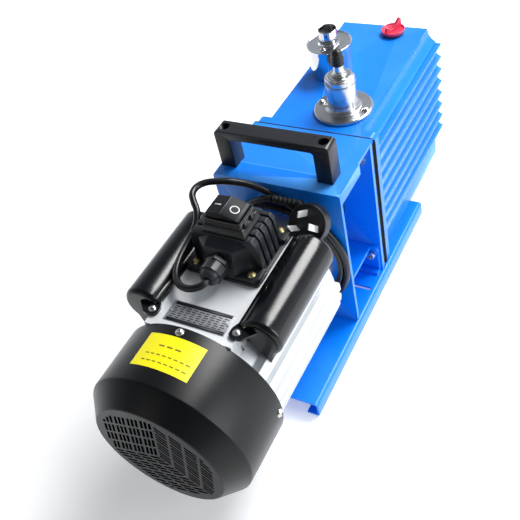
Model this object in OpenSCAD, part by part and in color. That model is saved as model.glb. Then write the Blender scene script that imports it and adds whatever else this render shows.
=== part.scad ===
// Two-stage rotary vane vacuum pump, direct driven by a fan-cooled single-phase motor.
// Millimetres. +Z up, +Y from the motor towards the oil box, +X to the right of the motor's fan end.
// Origin: centre of the pattern of four fixing holes in the underside of the base channel.

/* [Base] */
// Width of the base channel
base_w = 150.6; // [150:0.2:154]
// Length of the base channel
base_len = 327; // [320:1:334]
// Height of the base channel
base_h = 20.7; // [20.7:0.1:20.9]
// Sheet thickness of the base channel
base_t = 2.5; // [2:0.5:3]
// Outside bend radius of the base channel
base_r = 4; // [3.5:0.5:5]
// Width of the lips turned in under the base channel
base_lip = 15; // [14:1:18]
// Diameter of the fixing holes in the lips
fix_d = 7; // [6:0.5:8]
// Distance between fixing holes across the base
fix_x = 136; // [135:1:137]
// Distance between fixing holes along the base
fix_y = 290; // [280:5:300]

/* [Bracket] */
// Plate thickness of the bracket
plate_t = 4; // [4:0.5:5]
// Half width of the plate that carries the motor
bracket_hw = 72.2; // [71:0.2:73]
// Height of the bracket's top face above the ground
bracket_top = 207.4; // [207:0.2:208]
// Depth of the lips below the top plate's edges
lip_h = 14; // [8:1:16]
// Height of the shelf between the two plates
shelf_z = 60; // [50:1:62]

/* [Handle] */
// Overall length of the handle
handle_len = 128; // [120:1:130]
// Depth of the handle
handle_d = 19.5; // [18:0.5:22]
// Height of the handle above the top plate
handle_h = 45; // [40:1:50]
// Thickness of the bar
bar_t = 9; // [8:0.5:12]
// Width of each leg
leg_w = 17.5; // [15:0.5:18]

/* [Oil box] */
// Length of the oil box with its flange
box_len = 218.7; // [215:0.1:220]
// Half width of the box's top face
box_top_hw = 54.2; // [52:0.2:56]
// Half width over the cooling fins
fin_hw = 70.4; // [70:0.2:71]
// Number of fins on each side
fin_n = 8; // [6:1:8]
// Distance between fins
fin_pitch = 17.16; // [17:0.02:17.2]
// Wall thickness of the box
box_wall = 4; // [3:0.5:5]

/* [Pump stages] */
// Height of the shaft above the ground
shaft_z = 113.9; // [112:0.1:115]
// Radius of the stator bore
stator_r = 30; // [30:0.5:31]
// Offset of the rotor from the bore's centre
ecc = 4; // [4:0.1:4.5]
// Length of the high-vacuum stage
hv_len = 60; // [50:1:60]
// Length of the low-vacuum stage
lv_len = 30; // [24:1:30]
// Thickness of a vane
vane_t = 4; // [3.5:0.1:5]
// Diameter of the pump shaft
pump_shaft_d = 24; // [20:1:24]

/* [Motor] */
// Radius over the motor frame's fins
motor_r = 77.5; // [76:0.5:78]
// Radius of the stator core
core_r = 60; // [58:1:62]
// Diameter of the motor shaft
motor_shaft_d = 20; // [18:1:22]
// Radius of the fan cowl
cowl_r = 83.1; // [82:0.1:84]
// Radius of the cowl's front face
cowl_front_r = 66.9; // [64:0.1:70]
// Wall thickness of the cowl
cowl_t = 1.8; // [1.5:0.1:2]
// Number of fan blades
blade_n = 7; // [5:1:9]

/* [Ports] */
// Radius of the inlet's flange
inlet_r = 32.5; // [30:0.5:33]
// Radius of the inlet's body
inlet_body_r = 16.3; // [15:0.1:18]
// Outside radius of the hose nozzle
nozzle_r = 5.5; // [5:0.1:6]
// Outside radius of the exhaust neck
neck_r = 10.8; // [10:0.1:12]
// Radius of the red filler cap
cap_r = 14.2; // [13:0.1:16]
// Rise of the filler cap in one turn
cap_pitch = 2; // [1.5:0.5:2]

/* [Electrical] */
// Radius of a capacitor cover
cap_cover_r = 21.5; // [20:0.5:22]
// Length of a capacitor cover
cap_cover_len = 118; // [110:1:120]
// Travel of the rocker between off and on, in degrees
rocker_travel = 13; // [10:1:13]
// Diameter of the power cord
cord_d = 7; // [6:0.5:7]

/* [Hidden] */
$fn = 96;
e = 0.02;
// stations along the shaft
y_base = base_len / 2;
y_br0 = -44;                  // front face of the motor plate
y_br1 = 44;                   // rear face of the bracket
y_pl1 = 48.1;                 // rear face of the pump's mounting plate
y_gk1 = 49.6;                 // rear face of the gasket
y_fl1 = 62;                   // rear face of the box's flange
y_box1 = y_gk1 + box_len;     // back of the box
box_top = 205.7;
y_fr0 = -230;                 // motor frame
y_fr1 = -80;
y_cw0 = -313.5;               // fan cowl
y_cw1 = -228.9;
y_hv0 = 62;
y_hv1 = y_hv0 + hv_len;
y_lv0 = y_hv1 + 12;
y_lv1 = y_lv0 + lv_len;
y_pr1 = y_lv1 + 14;
rotor_r = stator_r - ecc - 0.05;
stator_z = shaft_z - ecc;
stator_or = 44;
slot_in = 8;
shaft_r = pump_shaft_d / 2;
mshaft_r = motor_shaft_d / 2;
inlet_x = 18.5; inlet_y = 93.5;
exh_x = -24; exh_y = 161.5;
fill_x = 17; fill_y = 252;
handle_x = -4.5; handle_y = -19.8;
cov_x = 62.3; cov_z = 179.5; cov_y1 = -91;
sw_x = 0.5; sw_y = -125; sw_z = 240;
plug_c = [48, -73.2, 192.3];   // middle of the plug's pin face
cord_r = cord_d / 2;
coil_y = -48.5;
pad_z = 154.5;                // flat top of the pump stages
tb_x = -1.5; tb_y = -121.8;    // middle of the terminal box
tb_dx = 30.2; tb_dy = 30.5;    // its screws from that middle
// hand-set points of the power cord: gland, side of the terminal box, loop, first strand to the coil
route_a = [[-2, -178, 205], [-3.5, -184.5, 204.5], [-9.5, -189.5, 203.5], [-18, -191, 202], [-27, -188.5, 201],
    [-35, -182, 200.5], [-41, -172, 200.5], [-45, -159, 201], [-47, -145, 202], [-47.5, -131, 205], [-48, -118, 210],
    [-52, -107.5, 215.5], [-59, -100, 219], [-65, -92, 221], [-65.5, -82, 222], [-59.5, -73.5, 222],
    [-49, -67, 220.5], [-37, -61, 217.5], [-25, -54.5, 212], [-13, -50, 204.5], [0, -48.5, 196.5], [14, -48.5, 188], [27, -48.5, 180.5]];
// last strand from the coil to the plug
route_b = [[-52.5, -55.5, 153.5], [-44, -57, 167], [-33, -58, 180], [-20.5, -58.5, 191.5], [-7, -59, 199.5], [6, -59.5, 203.5]];
// radius of the winding round the motor's neck at angle a clockwise from the top
function coil_rad(a) = a < 300 ? 71 : a > 390 ? 64 : 71 - 7 * (a - 300) / 90;
function coil_off(a) = a < 600 ? coil_y : coil_y - 5 * (a - 600) / 40;
route_c = [for (a = [32 : 15.2 : 640]) [coil_rad(a) * sin(a), coil_off(a), shaft_z + coil_rad(a) * cos(a)]];
route = concat(route_a, route_c, route_b);

// ---- helpers ----
// cylinder along Y from y0 to y1
module yc(r, y0, y1, x = 0, z = shaft_z) translate([x, y0, z]) rotate([-90, 0, 0]) cylinder(r = r, h = y1 - y0);
// ring along Y
module yring(ro, ri, y0, y1, x = 0, z = shaft_z) difference() { yc(ro, y0, y1, x, z); yc(ri, y0 - 1, y1 + 1, x, z); }
// box from its two corners
module bx(a, b) translate(a) cube(b - a);
// extrusion along Y of a shape drawn in X and Z
module yx(y0, y1) translate([0, y1, 0]) rotate([90, 0, 0]) linear_extrude(y1 - y0) children();
// rectangle with true round corners, from its two corners
module rr(x0, z0, x1, z1, r) {
    translate([x0 + r, z0]) square([x1 - x0 - 2 * r, z1 - z0]);
    translate([x0, z0 + r]) square([x1 - x0, z1 - z0 - 2 * r]);
    for (x = [x0 + r, x1 - r], z = [z0 + r, z1 - r]) translate([x, z]) circle(r);
}
// profile in radius and height turned about the Y axis through the shaft
module yrev(y0) translate([0, y0, shaft_z]) rotate([-90, 0, 0]) rotate_extrude() children();
module mx() { children(); mirror([1, 0, 0]) children(); }
// socket-head screw along Y, head towards -Y, seat at y0
module yscrew(x, z, r, y0, y1, hr, hh) {
    difference() { yc(hr, y0 - hh, y0, x, z); translate([x, y0 - hh - 1, z]) rotate([-90, 0, 0]) cylinder(r = r * 0.9, h = hh * 0.6 + 1, $fn = 6); }
    yc(r, y0 - 0.5, y1, x, z);
}

// ---- base and bracket ----
module base_channel() color("#0a84f0") difference() {
    yx(-y_base, y_base) difference() {
        rr(-base_w / 2, 0, base_w / 2, base_h, base_r);
        rr(-base_w / 2 + base_t, base_t, base_w / 2 - base_t, base_h - base_t, base_r - base_t);
        translate([-base_w / 2 + base_lip, -1]) square([base_w - 2 * base_lip, base_t + 2]);
    }
    // fixing holes in the lips
    for (x = [-fix_x / 2, fix_x / 2], y = [-fix_y / 2, fix_y / 2]) translate([x, y, -1]) cylinder(d = fix_d, h = base_t + 2);
    // short slots in the top, between the bracket's plates
    mx() bx([45, 3.5, base_h - base_t - 1], [68, 7.5, base_h + 1]);
}

module bracket() color("#0a84f0") {
    difference() {
        union() {
            // motor plate
            yx(y_br0, y_br0 + plate_t) rr(-bracket_hw, base_h, bracket_hw, bracket_top, 2.5);
            // rear plate
            bx([-70.5, y_br1 - plate_t - 1, base_h], [70.5, y_br1, bracket_top - 1]);
            // top plate
            bx([-bracket_hw + 2, y_br0 + 2, bracket_top - plate_t], [bracket_hw - 2, y_gk1 - 1.5, bracket_top]);
            // lips along the front of the top plate's sides
            mx() bx([bracket_hw - plate_t - 0.5, y_br0 + 2, bracket_top - lip_h], [bracket_hw - 0.6, 8, bracket_top - 0.6]);
            // shelf between the plates
            bx([-59, y_br0 + 2, shelf_z - plate_t], [59, y_br1 - 2, shelf_z]);
            // lugs at the foot of the rear plate
            mx() {
                yx(y_br1 - plate_t - 5, y_br1 - plate_t) { rr(44, base_h + 6, 68, 60, 7); translate([44, base_h]) square([24, 20]); }
                bx([44, 28, base_h], [68, y_br1 - 3, base_h + 4]);
            }
        }
        // motor spigot and shaft hole
        yc(40.1, y_br0 - 1, y_br0 + plate_t + 1);
        // pump spigot and shaft hole
        yc(32, y_br1 - plate_t - 2, y_br1 + 1);
        // motor flange screws
        for (a = [45 : 90 : 315]) yc(3.4, y_br0 - 1, y_br0 + plate_t + 1, 50 * cos(a), shaft_z + 50 * sin(a));
        // lug holes and upper holes for the box screws
        mx() { yc(3.3, 20, y_br1 + 1, 60, 48); yc(3.3, 20, y_br1 + 1, 60, 188); }
        // handle screws
        for (s = [-1, 1]) translate([handle_x + s * (handle_len / 2 - leg_w / 2), handle_y, bracket_top - 10]) cylinder(r = 3.3, h = 20);
    }
}

module handle() color("#15171b") difference() {
    translate([handle_x - handle_len / 2, handle_y - handle_d / 2, bracket_top]) {
        difference() {
            cube([handle_len, handle_d, handle_h]);
            translate([leg_w, -1, -1]) cube([handle_len - 2 * leg_w, handle_d + 2, handle_h - bar_t + 1]);
        }
    }
    for (s = [-1, 1]) translate([handle_x + s * (handle_len / 2 - leg_w / 2), handle_y, bracket_top]) {
        translate([0, 0, -1]) cylinder(r = 3.3, h = handle_h);
        translate([0, 0, 12]) cylinder(r = 5.4, h = handle_h);
    }
}

// screws of one size: handle to bracket, motor to bracket, bracket to oil box
module frame_bolts() color("#b9bcc0") {
    for (s = [-1, 1]) translate([handle_x + s * (handle_len / 2 - leg_w / 2), handle_y, bracket_top + 12]) {
        difference() { cylinder(r = 5, h = 5.5); translate([0, 0, 2]) cylinder(r = 2.7, h = 5, $fn = 6); }
        translate([0, 0, -22]) cylinder(r = 3, h = 22.5);
        translate([0, 0, -22]) cylinder(r = 5, h = 4, $fn = 6);
    }
    for (a = [45 : 90 : 315]) translate([50 * cos(a), 0, 50 * sin(a)]) mirror([0, 1, 0]) yscrew(0, shaft_z, 3, -y_br0 - plate_t, -y_br0 + 10, 5, 5.5);
    mx() yscrew(60, 48, 3, y_br1 - plate_t - 5, 58, 5, 5.5);
    mx() yscrew(60, 188, 3, y_br1 - plate_t - 1, 58, 5, 5.5);
}

// ---- oil box ----
// clear inside of the box, drawn in X and Z
module box_inside() {
    translate([-50, 150]) square([100, box_top - box_wall - 150]);
    translate([-56, base_h + 4.3]) square([112, 159]);
}
module box_outside() {
    difference() {
        union() {
            translate([-fin_hw, 52]) square([2 * fin_hw, 135.5]);
            translate([-60, base_h]) square([120, 40]);
            translate([-box_top_hw, 180]) square([2 * box_top_hw, box_top - 180]);
            translate([-64, 180]) square([128, box_top - 180 - 3]);
        }
        // hollow of each gap between fins
        for (s = [-1, 1], i = [0 : fin_n - 2]) translate([s * (fin_hw + 1.2), 66.1 + fin_pitch * (i + 0.5)]) circle(7.5);
        // sweep from the top edge out to the first fin, and from the last fin in to the foot
        for (s = [-1, 1]) translate([s * (fin_hw + 2.2), 205.4]) circle(18.2);
        for (s = [-1, 1]) translate([s * (fin_hw + 1), 53]) circle(11.8);
    }
}
module box_gasket() color("#0b0b0c") difference() {
    yx(y_pl1, y_gk1) difference() { rr(-70.3, base_h + 0.3, 70.3, box_top, 6); box_inside(); }
    mx() for (z = [48, 188]) yc(3.3, y_pl1 - 1, y_gk1 + 1, 60, z);
}
module oil_box() color("#0a84f0") difference() {
    union() {
        yx(y_gk1, y_fl1) rr(-fin_hw - 0.1, base_h, fin_hw + 0.1, box_top, 6);
        yx(y_fl1 - 1, y_box1) box_outside();
    }
    yx(y_gk1 - 1, y_box1 - 5) box_inside();
    // inlet, exhaust and filler holes in the top
    translate([inlet_x, inlet_y, 190]) cylinder(r = 12, h = 20);
    translate([exh_x, exh_y, 190]) cylinder(r = 9, h = 20);
    translate([fill_x, fill_y, 190]) cylinder(r = 10, h = 20);
    // screws of the inlet's flange and the oil box
    for (a = [-4, 176]) translate([inlet_x + 27 * cos(a), inlet_y + 27 * sin(a), 195]) cylinder(r = 2, h = 20);
    mx() for (z = [48, 188]) yc(3.05, y_gk1 - 1, 59, 60, z);
    // sight glass and drain holes in the back
    yc(13.15, y_box1 - 10, y_box1 + 1, 26, 88);
    yc(6.1, y_box1 - 10, y_box1 + 1, -26, 38);
}
module sight_glass_ring() color("#c9a64a") yring(19, 13.2, y_box1, y_box1 + 5, 26, 88);
module sight_glass_lens() color("#cfe6ee") yc(13.1, y_box1 - 1, y_box1 + 3.6, 26, 88);
module drain_plug() color("#b9bcc0") {
    yc(6, y_box1 - 4, y_box1 + 1, -26, 38);
    yring(10.5, 5.9, y_box1, y_box1 + 1.5, -26, 38);
    translate([-26, y_box1 + 1, 38]) rotate([-90, 0, 0]) cylinder(r = 9, h = 7, $fn = 6);
}
module oil_filler_cap() color("#e2385a") translate([fill_x, fill_y, box_top]) {
    difference() {
        translate([0, 0, 1.6]) cylinder(r1 = cap_r - 1.2, r2 = cap_r, h = 4.6);
        translate([0, 0, 4.8]) rotate_extrude() translate([7, 0]) square([cap_r - 8.4, 5]);
    }
    translate([0, 0, -7.6]) cylinder(r = 9.4, h = 10);
    // finger web
    rotate(63) difference() {
        translate([0, 1.6, 4.6]) rotate([90, 0, 0]) linear_extrude(3.2) polygon([[-11.6, 0], [12.4, 0], [12.4, 5], [10.4, 12.5], [7.5, 13.2], [-1, 6.5], [-7, 5.2], [-8.4, 7], [-11.6, 6]]);
    }
}
module oil_cap_seal() color("#111111") translate([fill_x, fill_y, box_top]) difference() { cylinder(r = 12.4, h = 1.5); translate([0, 0, -1]) cylinder(r = 9.5, h = 4); }

// ---- ports ----
module inlet_flange() color("#c8cbd0") translate([inlet_x, inlet_y, box_top]) difference() {
    rotate_extrude() difference() {
        union() {
            translate([0, 0]) square([inlet_r - 1.2, 4.3]);
            translate([0, 0]) square([inlet_r, 3]);
            translate([inlet_r - 1.3, 3]) circle(1.3);
            square([inlet_body_r + 3, 7]);
            square([inlet_body_r, 35]);
        }
        translate([inlet_body_r + 3.6, 7.9]) circle(3.6);
        translate([-1, -1]) square([9, 60]);
    }
    for (a = [-4, 176]) rotate(a) translate([27, 0, -1]) cylinder(r = 2.2, h = 10);
}
module port_screws() color("#d4d6da") {
    for (a = [-4, 176]) translate([inlet_x + 27 * cos(a), inlet_y + 27 * sin(a), box_top + 4.3]) {
        intersection() { translate([0, 0, -2]) sphere(r = 5); cylinder(r = 4.5, h = 5); }
        translate([0, 0, -9]) cylinder(r = 1.95, h = 9.1);
    }
    translate([exh_x - 0.8, exh_y - 14.8, box_top + 37.25]) {
        intersection() { translate([0, 0, -1.8]) sphere(r = 4.1); cylinder(r = 3.6, h = 5); }
        translate([0, 0, -5]) cylinder(r = 1.6, h = 5.1);
    }
}
module inlet_nut() color("#c8cbd0") translate([inlet_x, inlet_y, box_top + 35]) difference() {
    union() {
        cylinder(r = 16.8, h = 1.6);
        cylinder(r = 16.2, h = 7.5);
        cylinder(r = 13, h = 9.3);
    }
    // two flats for a wrench
    for (s = [0, 180]) rotate(52 + s) translate([14.4, -20, 1.6]) cube([10, 40, 10]);
    translate([0, 0, -1]) cylinder(r = 8.1, h = 20);
}
module inlet_nozzle() color("#c8cbd0") translate([inlet_x, inlet_y, box_top]) rotate_extrude() difference() {
    union() {
        translate([0, 29]) square([8, 16]);
        translate([0, 44.3]) square([nozzle_r + 3, 1.2]);
        translate([0, 45]) square([nozzle_r + 1.6, 2]);
        translate([0, 45]) square([nozzle_r, 20.5]);
    }
    translate([-1, 20]) square([4.6, 60]);
}
module inlet_rubber_cap() color("#0d0e10") translate([inlet_x, inlet_y, box_top]) rotate_extrude() difference() {
    union() {
        translate([0, 58]) square([6.9, 6]);
        intersection() { translate([0, 64]) scale([1, 1]) circle(6.9); translate([0, 50]) square([7, 20]); }
        translate([0, 64]) square([5.6, 5.2]);
        translate([0, 68.6]) intersection() { circle(5.6); translate([0, -3]) square([6, 10]); }
        translate([0, 56.2]) square([6.3, 2]);
    }
    translate([-1, 40]) square([nozzle_r + 1.03, 25.7]);
}
module inlet_tube() color("#a7adb3") translate([inlet_x, inlet_y, 0]) difference() {
    union() { translate([0, 0, pad_z + 0.05]) cylinder(r = 9.6, h = box_top - pad_z - 0.35); translate([0, 0, 196.5]) cylinder(r = 11.8, h = 9.2); }
    translate([0, 0, 140]) cylinder(r = 7, h = 80);
}
module exhaust_can() color("#d6d8dc") translate([exh_x, exh_y, box_top]) difference() {
    union() {
        rotate_extrude() polygon([[0, 0], [23.4, 0], [23.8, 2], [25.6, 34], [26.1, 38.6], [24.9, 38.6], [24.4, 37.2], [11.15, 37.2], [neck_r, 38], [0, 38]]);
        cylinder(r = neck_r, h = 55.3);
    }
    translate([0, 0, -1]) cylinder(r = 9, h = 3);
    translate([0, 0, 1.4]) cylinder(r1 = 22.2, r2 = 23.9, h = 34.2);
    translate([0, 0, 35]) cylinder(r = neck_r - 1.1, h = 30);
    translate([-0.8, -14.8, 30]) cylinder(r = 1.62, h = 20);
}
module exhaust_filter() color("#9a9da1") translate([exh_x, exh_y, box_top]) {
    difference() { translate([0, 0, 1.5]) cylinder(r = 20, h = 30); translate([0, 0, -1]) cylinder(r = 8, h = 40); }
    translate([0, 0, 46]) cylinder(r = neck_r - 1.15, h = 2);
}

// ---- pump inside the box ----
module pump_front_plate() color("#7f8790") difference() {
    union() {
        bx([-69.6, y_br1, base_h + 0.6], [69.6, y_pl1, bracket_top - plate_t - 0.4]);
        yc(stator_or, y_pl1 - 1, y_hv0, 0, stator_z);
        bx([-30, y_pl1 - 1, stator_z], [30, y_hv0, pad_z]);
        yc(31.9, y_br1 - plate_t, y_br1 + 1);
    }
    yc(shaft_r + 0.04, y_br1 - 10, y_hv0 + 1);
    yc(19, y_br1 - plate_t - 1, y_br1 + 5);
    pump_bolts_cut();
    mx() for (z = [48, 188]) yc(3.3, y_br1 - 1, y_pl1 + 1, 60, z);
}
module pump_bolts_cut() for (a = [45 : 90 : 315]) yc(3.02, y_hv0 - 9, y_pr1 + 1, 37 * cos(a), stator_z + 37 * sin(a));
module shaft_seal() color("#5a2b1c") yring(18.95, shaft_r + 0.06, y_br1 - plate_t, y_br1 + 4.8);
module stage(y0, y1) difference() {
    union() { yc(stator_or, y0, y1, 0, stator_z); bx([-30, y0, stator_z], [30, y1, pad_z]); }
    yc(stator_r, y0 - 1, y1 + 1, 0, stator_z);
    pump_bolts_cut();
}
module hv_stator() color("#8b9299") difference() {
    stage(y_hv0, y_hv1);
    translate([inlet_x, inlet_y, 125]) cylinder(r = 7, h = 40);
}
module lv_stator() color("#8b9299") difference() {
    stage(y_lv0, y_lv1);
    translate([-20, (y_lv0 + y_lv1) / 2, 125]) cylinder(r = 4, h = 40);
}
module end_plate(y0, y1, r) difference() {
    union() { yc(stator_or, y0, y1, 0, stator_z); bx([-30, y0, stator_z], [30, y1, pad_z]); }
    yc(r, y0 - 1, y1 + 1);
    pump_bolts_cut();
}
module middle_plate() color("#7f8790") end_plate(y_hv1, y_lv0, shaft_r + 0.04);
module pump_rear_plate() color("#7f8790") end_plate(y_lv1, y_pr1, shaft_r + 0.04);
module pump_tie_bolts() color("#b9bcc0") for (a = [45 : 90 : 315]) translate([37 * cos(a), 0, stator_z + 37 * sin(a)]) {
    translate([0, y_hv0 - 8, 0]) rotate([-90, 0, 0]) cylinder(r = 3, h = y_pr1 - y_hv0 + 8.5);
    translate([0, y_pr1, 0]) rotate([-90, 0, 0]) cylinder(r = 5.6, h = 4.5, $fn = 6);
}
// rotor with two slots and a cross hole for the vane springs
module rotor(y0, y1) difference() {
    yc(rotor_r, y0 + 0.05, y1 - 0.05);
    for (s = [-1, 1]) translate([s > 0 ? slot_in : -rotor_r - 1, y0 - 1, shaft_z - vane_t / 2 - 0.03]) cube([rotor_r + 1 - slot_in, y1 - y0 + 2, vane_t + 0.06]);
    for (f = [0.25, 0.75]) translate([-slot_in - 1, y0 + (y1 - y0) * f, shaft_z]) rotate([0, 90, 0]) cylinder(r = 1.9, h = 2 * slot_in + 2);
}
module hv_rotor() color("#9aa0a6") { rotor(y_hv0, y_hv1); yc(shaft_r, 9.6, y_hv0 + 0.06); yc(shaft_r, y_hv1 - 0.06, y_lv0 - 4); }
module lv_rotor() color("#9aa0a6") { rotor(y_lv0, y_lv1); yc(shaft_r, y_lv0 - 4, y_lv0 + 0.06); yc(shaft_r, y_lv1 - 0.06, y_pr1 - 2); }
module vane(y0, y1, s) translate([s > 0 ? slot_in + 0.25 : -rotor_r + 0.05, y0 + 0.1, shaft_z - vane_t / 2]) cube([rotor_r - 0.3 - slot_in, y1 - y0 - 0.2, vane_t]);
module hv_vane_left() color("#3b3128") vane(y_hv0, y_hv1, -1);
module hv_vane_right() color("#3b3128") vane(y_hv0, y_hv1, 1);
module lv_vane_left() color("#3b3128") vane(y_lv0, y_lv1, -1);
module lv_vane_right() color("#3b3128") vane(y_lv0, y_lv1, 1);
// closed coil springs between the vanes, drawn as their turns joined on a core
module vspring(y) translate([-slot_in + 0.1, y, shaft_z]) rotate([0, 90, 0]) {
    cylinder(r = 1.1, h = 2 * slot_in - 0.2);
    for (i = [0 : 6]) translate([0, 0, 0.8 + i * 2.35]) cylinder(r = 1.75, h = 0.9);
}
module vane_springs() color("#b9bcc0") for (f = [0.25, 0.75]) { vspring(y_hv0 + hv_len * f); vspring(y_lv0 + lv_len * f); }
module discharge_reed() color("#c2b280") translate([-29, (y_lv0 + y_lv1) / 2 - 6, pad_z + 0.05]) cube([22, 12, 0.6]);

// ---- coupling ----
module jaw(a0, n, y0, y1, w, ri = 10.4) for (i = [0 : n - 1]) translate([0, y1, shaft_z]) rotate([90, 0, 0]) linear_extrude(y1 - y0) intersection() {
    difference() { circle(25); circle(ri); }
    rotate(a0 + i * 360 / n) polygon([[0, 0], [40 * cos(w), -40 * sin(w)], [40 * cos(w), 40 * sin(w)]]);
}
module coupling_motor_half() color("#8f969c") { yring(26, mshaft_r, -34, -8); jaw(0, 3, -8.5, 5, 19); }
module coupling_pump_half() color("#8f969c") { yring(26, shaft_r, 9, 32); jaw(60, 3, -4, 9.5, 19); }
module coupling_spider() color("#c8352e") { jaw(30, 6, -5, 6, 10.4, 10.2); yring(10.3, 6, -5, 6); }

// ---- motor ----
module motor_profile() {
    difference() {
        union() {
            circle(70);
            intersection() {
                circle(motor_r);
                for (z = [-56.5 : 15.5 : 40]) translate([-90, z - 4.7]) square([180, 9.4]);
            }
            intersection() { circle(motor_r); for (x = [-38 : 15.2 : 40]) translate([x - 4.7, -90]) square([9.4, 90]); }
            translate([-46, 30]) square([92, 73.1 - 30]);
        }
        circle(core_r);
    }
}
module motor_frame() color("#dfe3e6") difference() {
    yx(y_fr0, y_fr1) translate([0, shaft_z]) motor_profile();
    for (x = [-tb_dx, tb_dx], y = [-tb_dy, tb_dy]) translate([tb_x + x, tb_y + y, 178]) cylinder(r = 1.9, h = 12);
    // corners of the pad under the cowl's edge, and beside the plug
    yx(y_fr0 - 1, y_cw1 + 0.1) difference() { translate([-90, 130]) square([180, 70]); translate([0, shaft_z]) circle(81.2); }
    yx(-89, y_fr1 + 1) difference() { translate([26, 130]) square([70, 70]); translate([0, shaft_z]) circle(69.5); }
    mx() translate([45, -214, 160]) cylinder(r = 1.9, h = 30);
}
module drive_end_shield() color("#d4d8db") difference() {
    union() {
        yrev(y_fr1) polygon([[0, 0], [69.5, 0], [69.5, 4], [54, 14], [54, 36], [0, 36]]);
        yc(40, y_br0 - 1, y_br0 + plate_t - 0.5);
        yc(core_r - 0.1, y_fr1 - 4, y_fr1 + 1);
    }
    yrev(y_fr1 - 5) polygon([[0, 0], [50, 0], [50, 9], [38, 24], [0, 24]]);
    yc(19.05, y_br0 - 16, y_br0 - 4);
    yc(mshaft_r + 0.5, -66, 0);
    for (a = [45 : 90 : 315]) yc(3.05, y_br0 - 11, y_br0 + 1, 50 * cos(a), shaft_z + 50 * sin(a));
}
module fan_end_shield() color("#cfd3d6") difference() {
    union() { yc(cowl_r - cowl_t - 0.05, y_fr0 - 9, y_fr0); yc(26, y_fr0 - 14, y_fr0); yc(core_r - 0.1, y_fr0 - 1, y_fr0 + 4); }
    yc(50, y_fr0 - 4, y_fr0 + 5);
    yc(mshaft_r + 0.5, y_fr0 - 20, y_fr0 + 2);
    yc(19.05, y_fr0 - 11, y_fr0 + 2);
    for (a = [0 : 90 : 270]) rotate_y(a) translate([0, -234.5, 74]) cylinder(r = 2, h = 12);
}
module rotate_y(a) translate([0, 0, shaft_z]) rotate([0, a, 0]) children();
module stator_core() color("#70757a") yring(core_r, 34, -205, -125);
module stator_windings() color("#b8673a") { yring(56, 38, -219, -205); yring(56, 38, -125, -111); }
module motor_rotor() color("#80868b") { yring(33.5, mshaft_r, -205, -125); }
module motor_shaft() color("#a9afb5") { yc(mshaft_r, -246, -11); yc(8, -296, -245); }
module motor_bearings() color("#aeb4ba") { yring(19, mshaft_r + 0.04, y_br0 - 16, y_br0 - 5); yring(19, mshaft_r + 0.04, y_fr0 - 11, y_fr0); }
module cooling_fan() color("#1d2024") {
    yring(16, 8, -290, -262);
    yring(58, 8, -265, -262);
    for (i = [0 : blade_n - 1]) rotate_y(i * 360 / blade_n) translate([-1.2, -290, 14]) cube([2.4, 26, 46]);
}
module fan_cowl() color("#14161a") difference() {
    yrev(y_cw0) polygon([[0, 0], [cowl_front_r - 2, 0], [cowl_front_r, 1.2], [cowl_r, 20.9], [cowl_r, y_cw1 - y_cw0], [cowl_r - cowl_t, y_cw1 - y_cw0],
        [cowl_r - cowl_t, 21.6], [cowl_front_r - 2, cowl_t], [0, cowl_t]]);
    // air slots, in rings
    for (k = [0 : 4]) for (i = [0 : 5 + 6 * k]) rotate_y(i * 360 / (6 + 6 * k)) translate([-2.7, y_cw0 - 1, 11 + 10.2 * k]) cube([5.4, cowl_t + 2, 6.4]);
    for (a = [0 : 90 : 270]) rotate_y(a) translate([0, -234.5, 78]) cylinder(r = 2.2, h = 12);
}
// pan-head screws of the cowl and of the capacitor covers
module cover_screws() color("#c9ccd0") {
    for (a = [0 : 90 : 270]) rotate_y(a) translate([0, -234.5, cowl_r + 0.02]) {
        difference() { intersection() { translate([0, 0, -2.2]) sphere(r = 5); cylinder(r = 4.4, h = 4); } translate([0, 0, 1.4]) cylinder(r = 1.6, h = 4, $fn = 6); }
        translate([0, 0, -7]) cylinder(r = 1.95, h = 7.1);
    }
    mx() translate([45, -214, 190.06]) {
        intersection() { translate([0, 0, -2]) sphere(r = 4.6); cylinder(r = 4.1, h = 3); }
        translate([0, 0, -14]) cylinder(r = 1.85, h = 14.1);
    }
}

// ---- electrical ----
// the box's corners are all alike: draws its children in each of the four
module four() translate([tb_x, tb_y, 0]) for (i = [0, 1], j = [0, 1]) mirror([i, 0, 0]) mirror([0, j, 0]) children();
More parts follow.
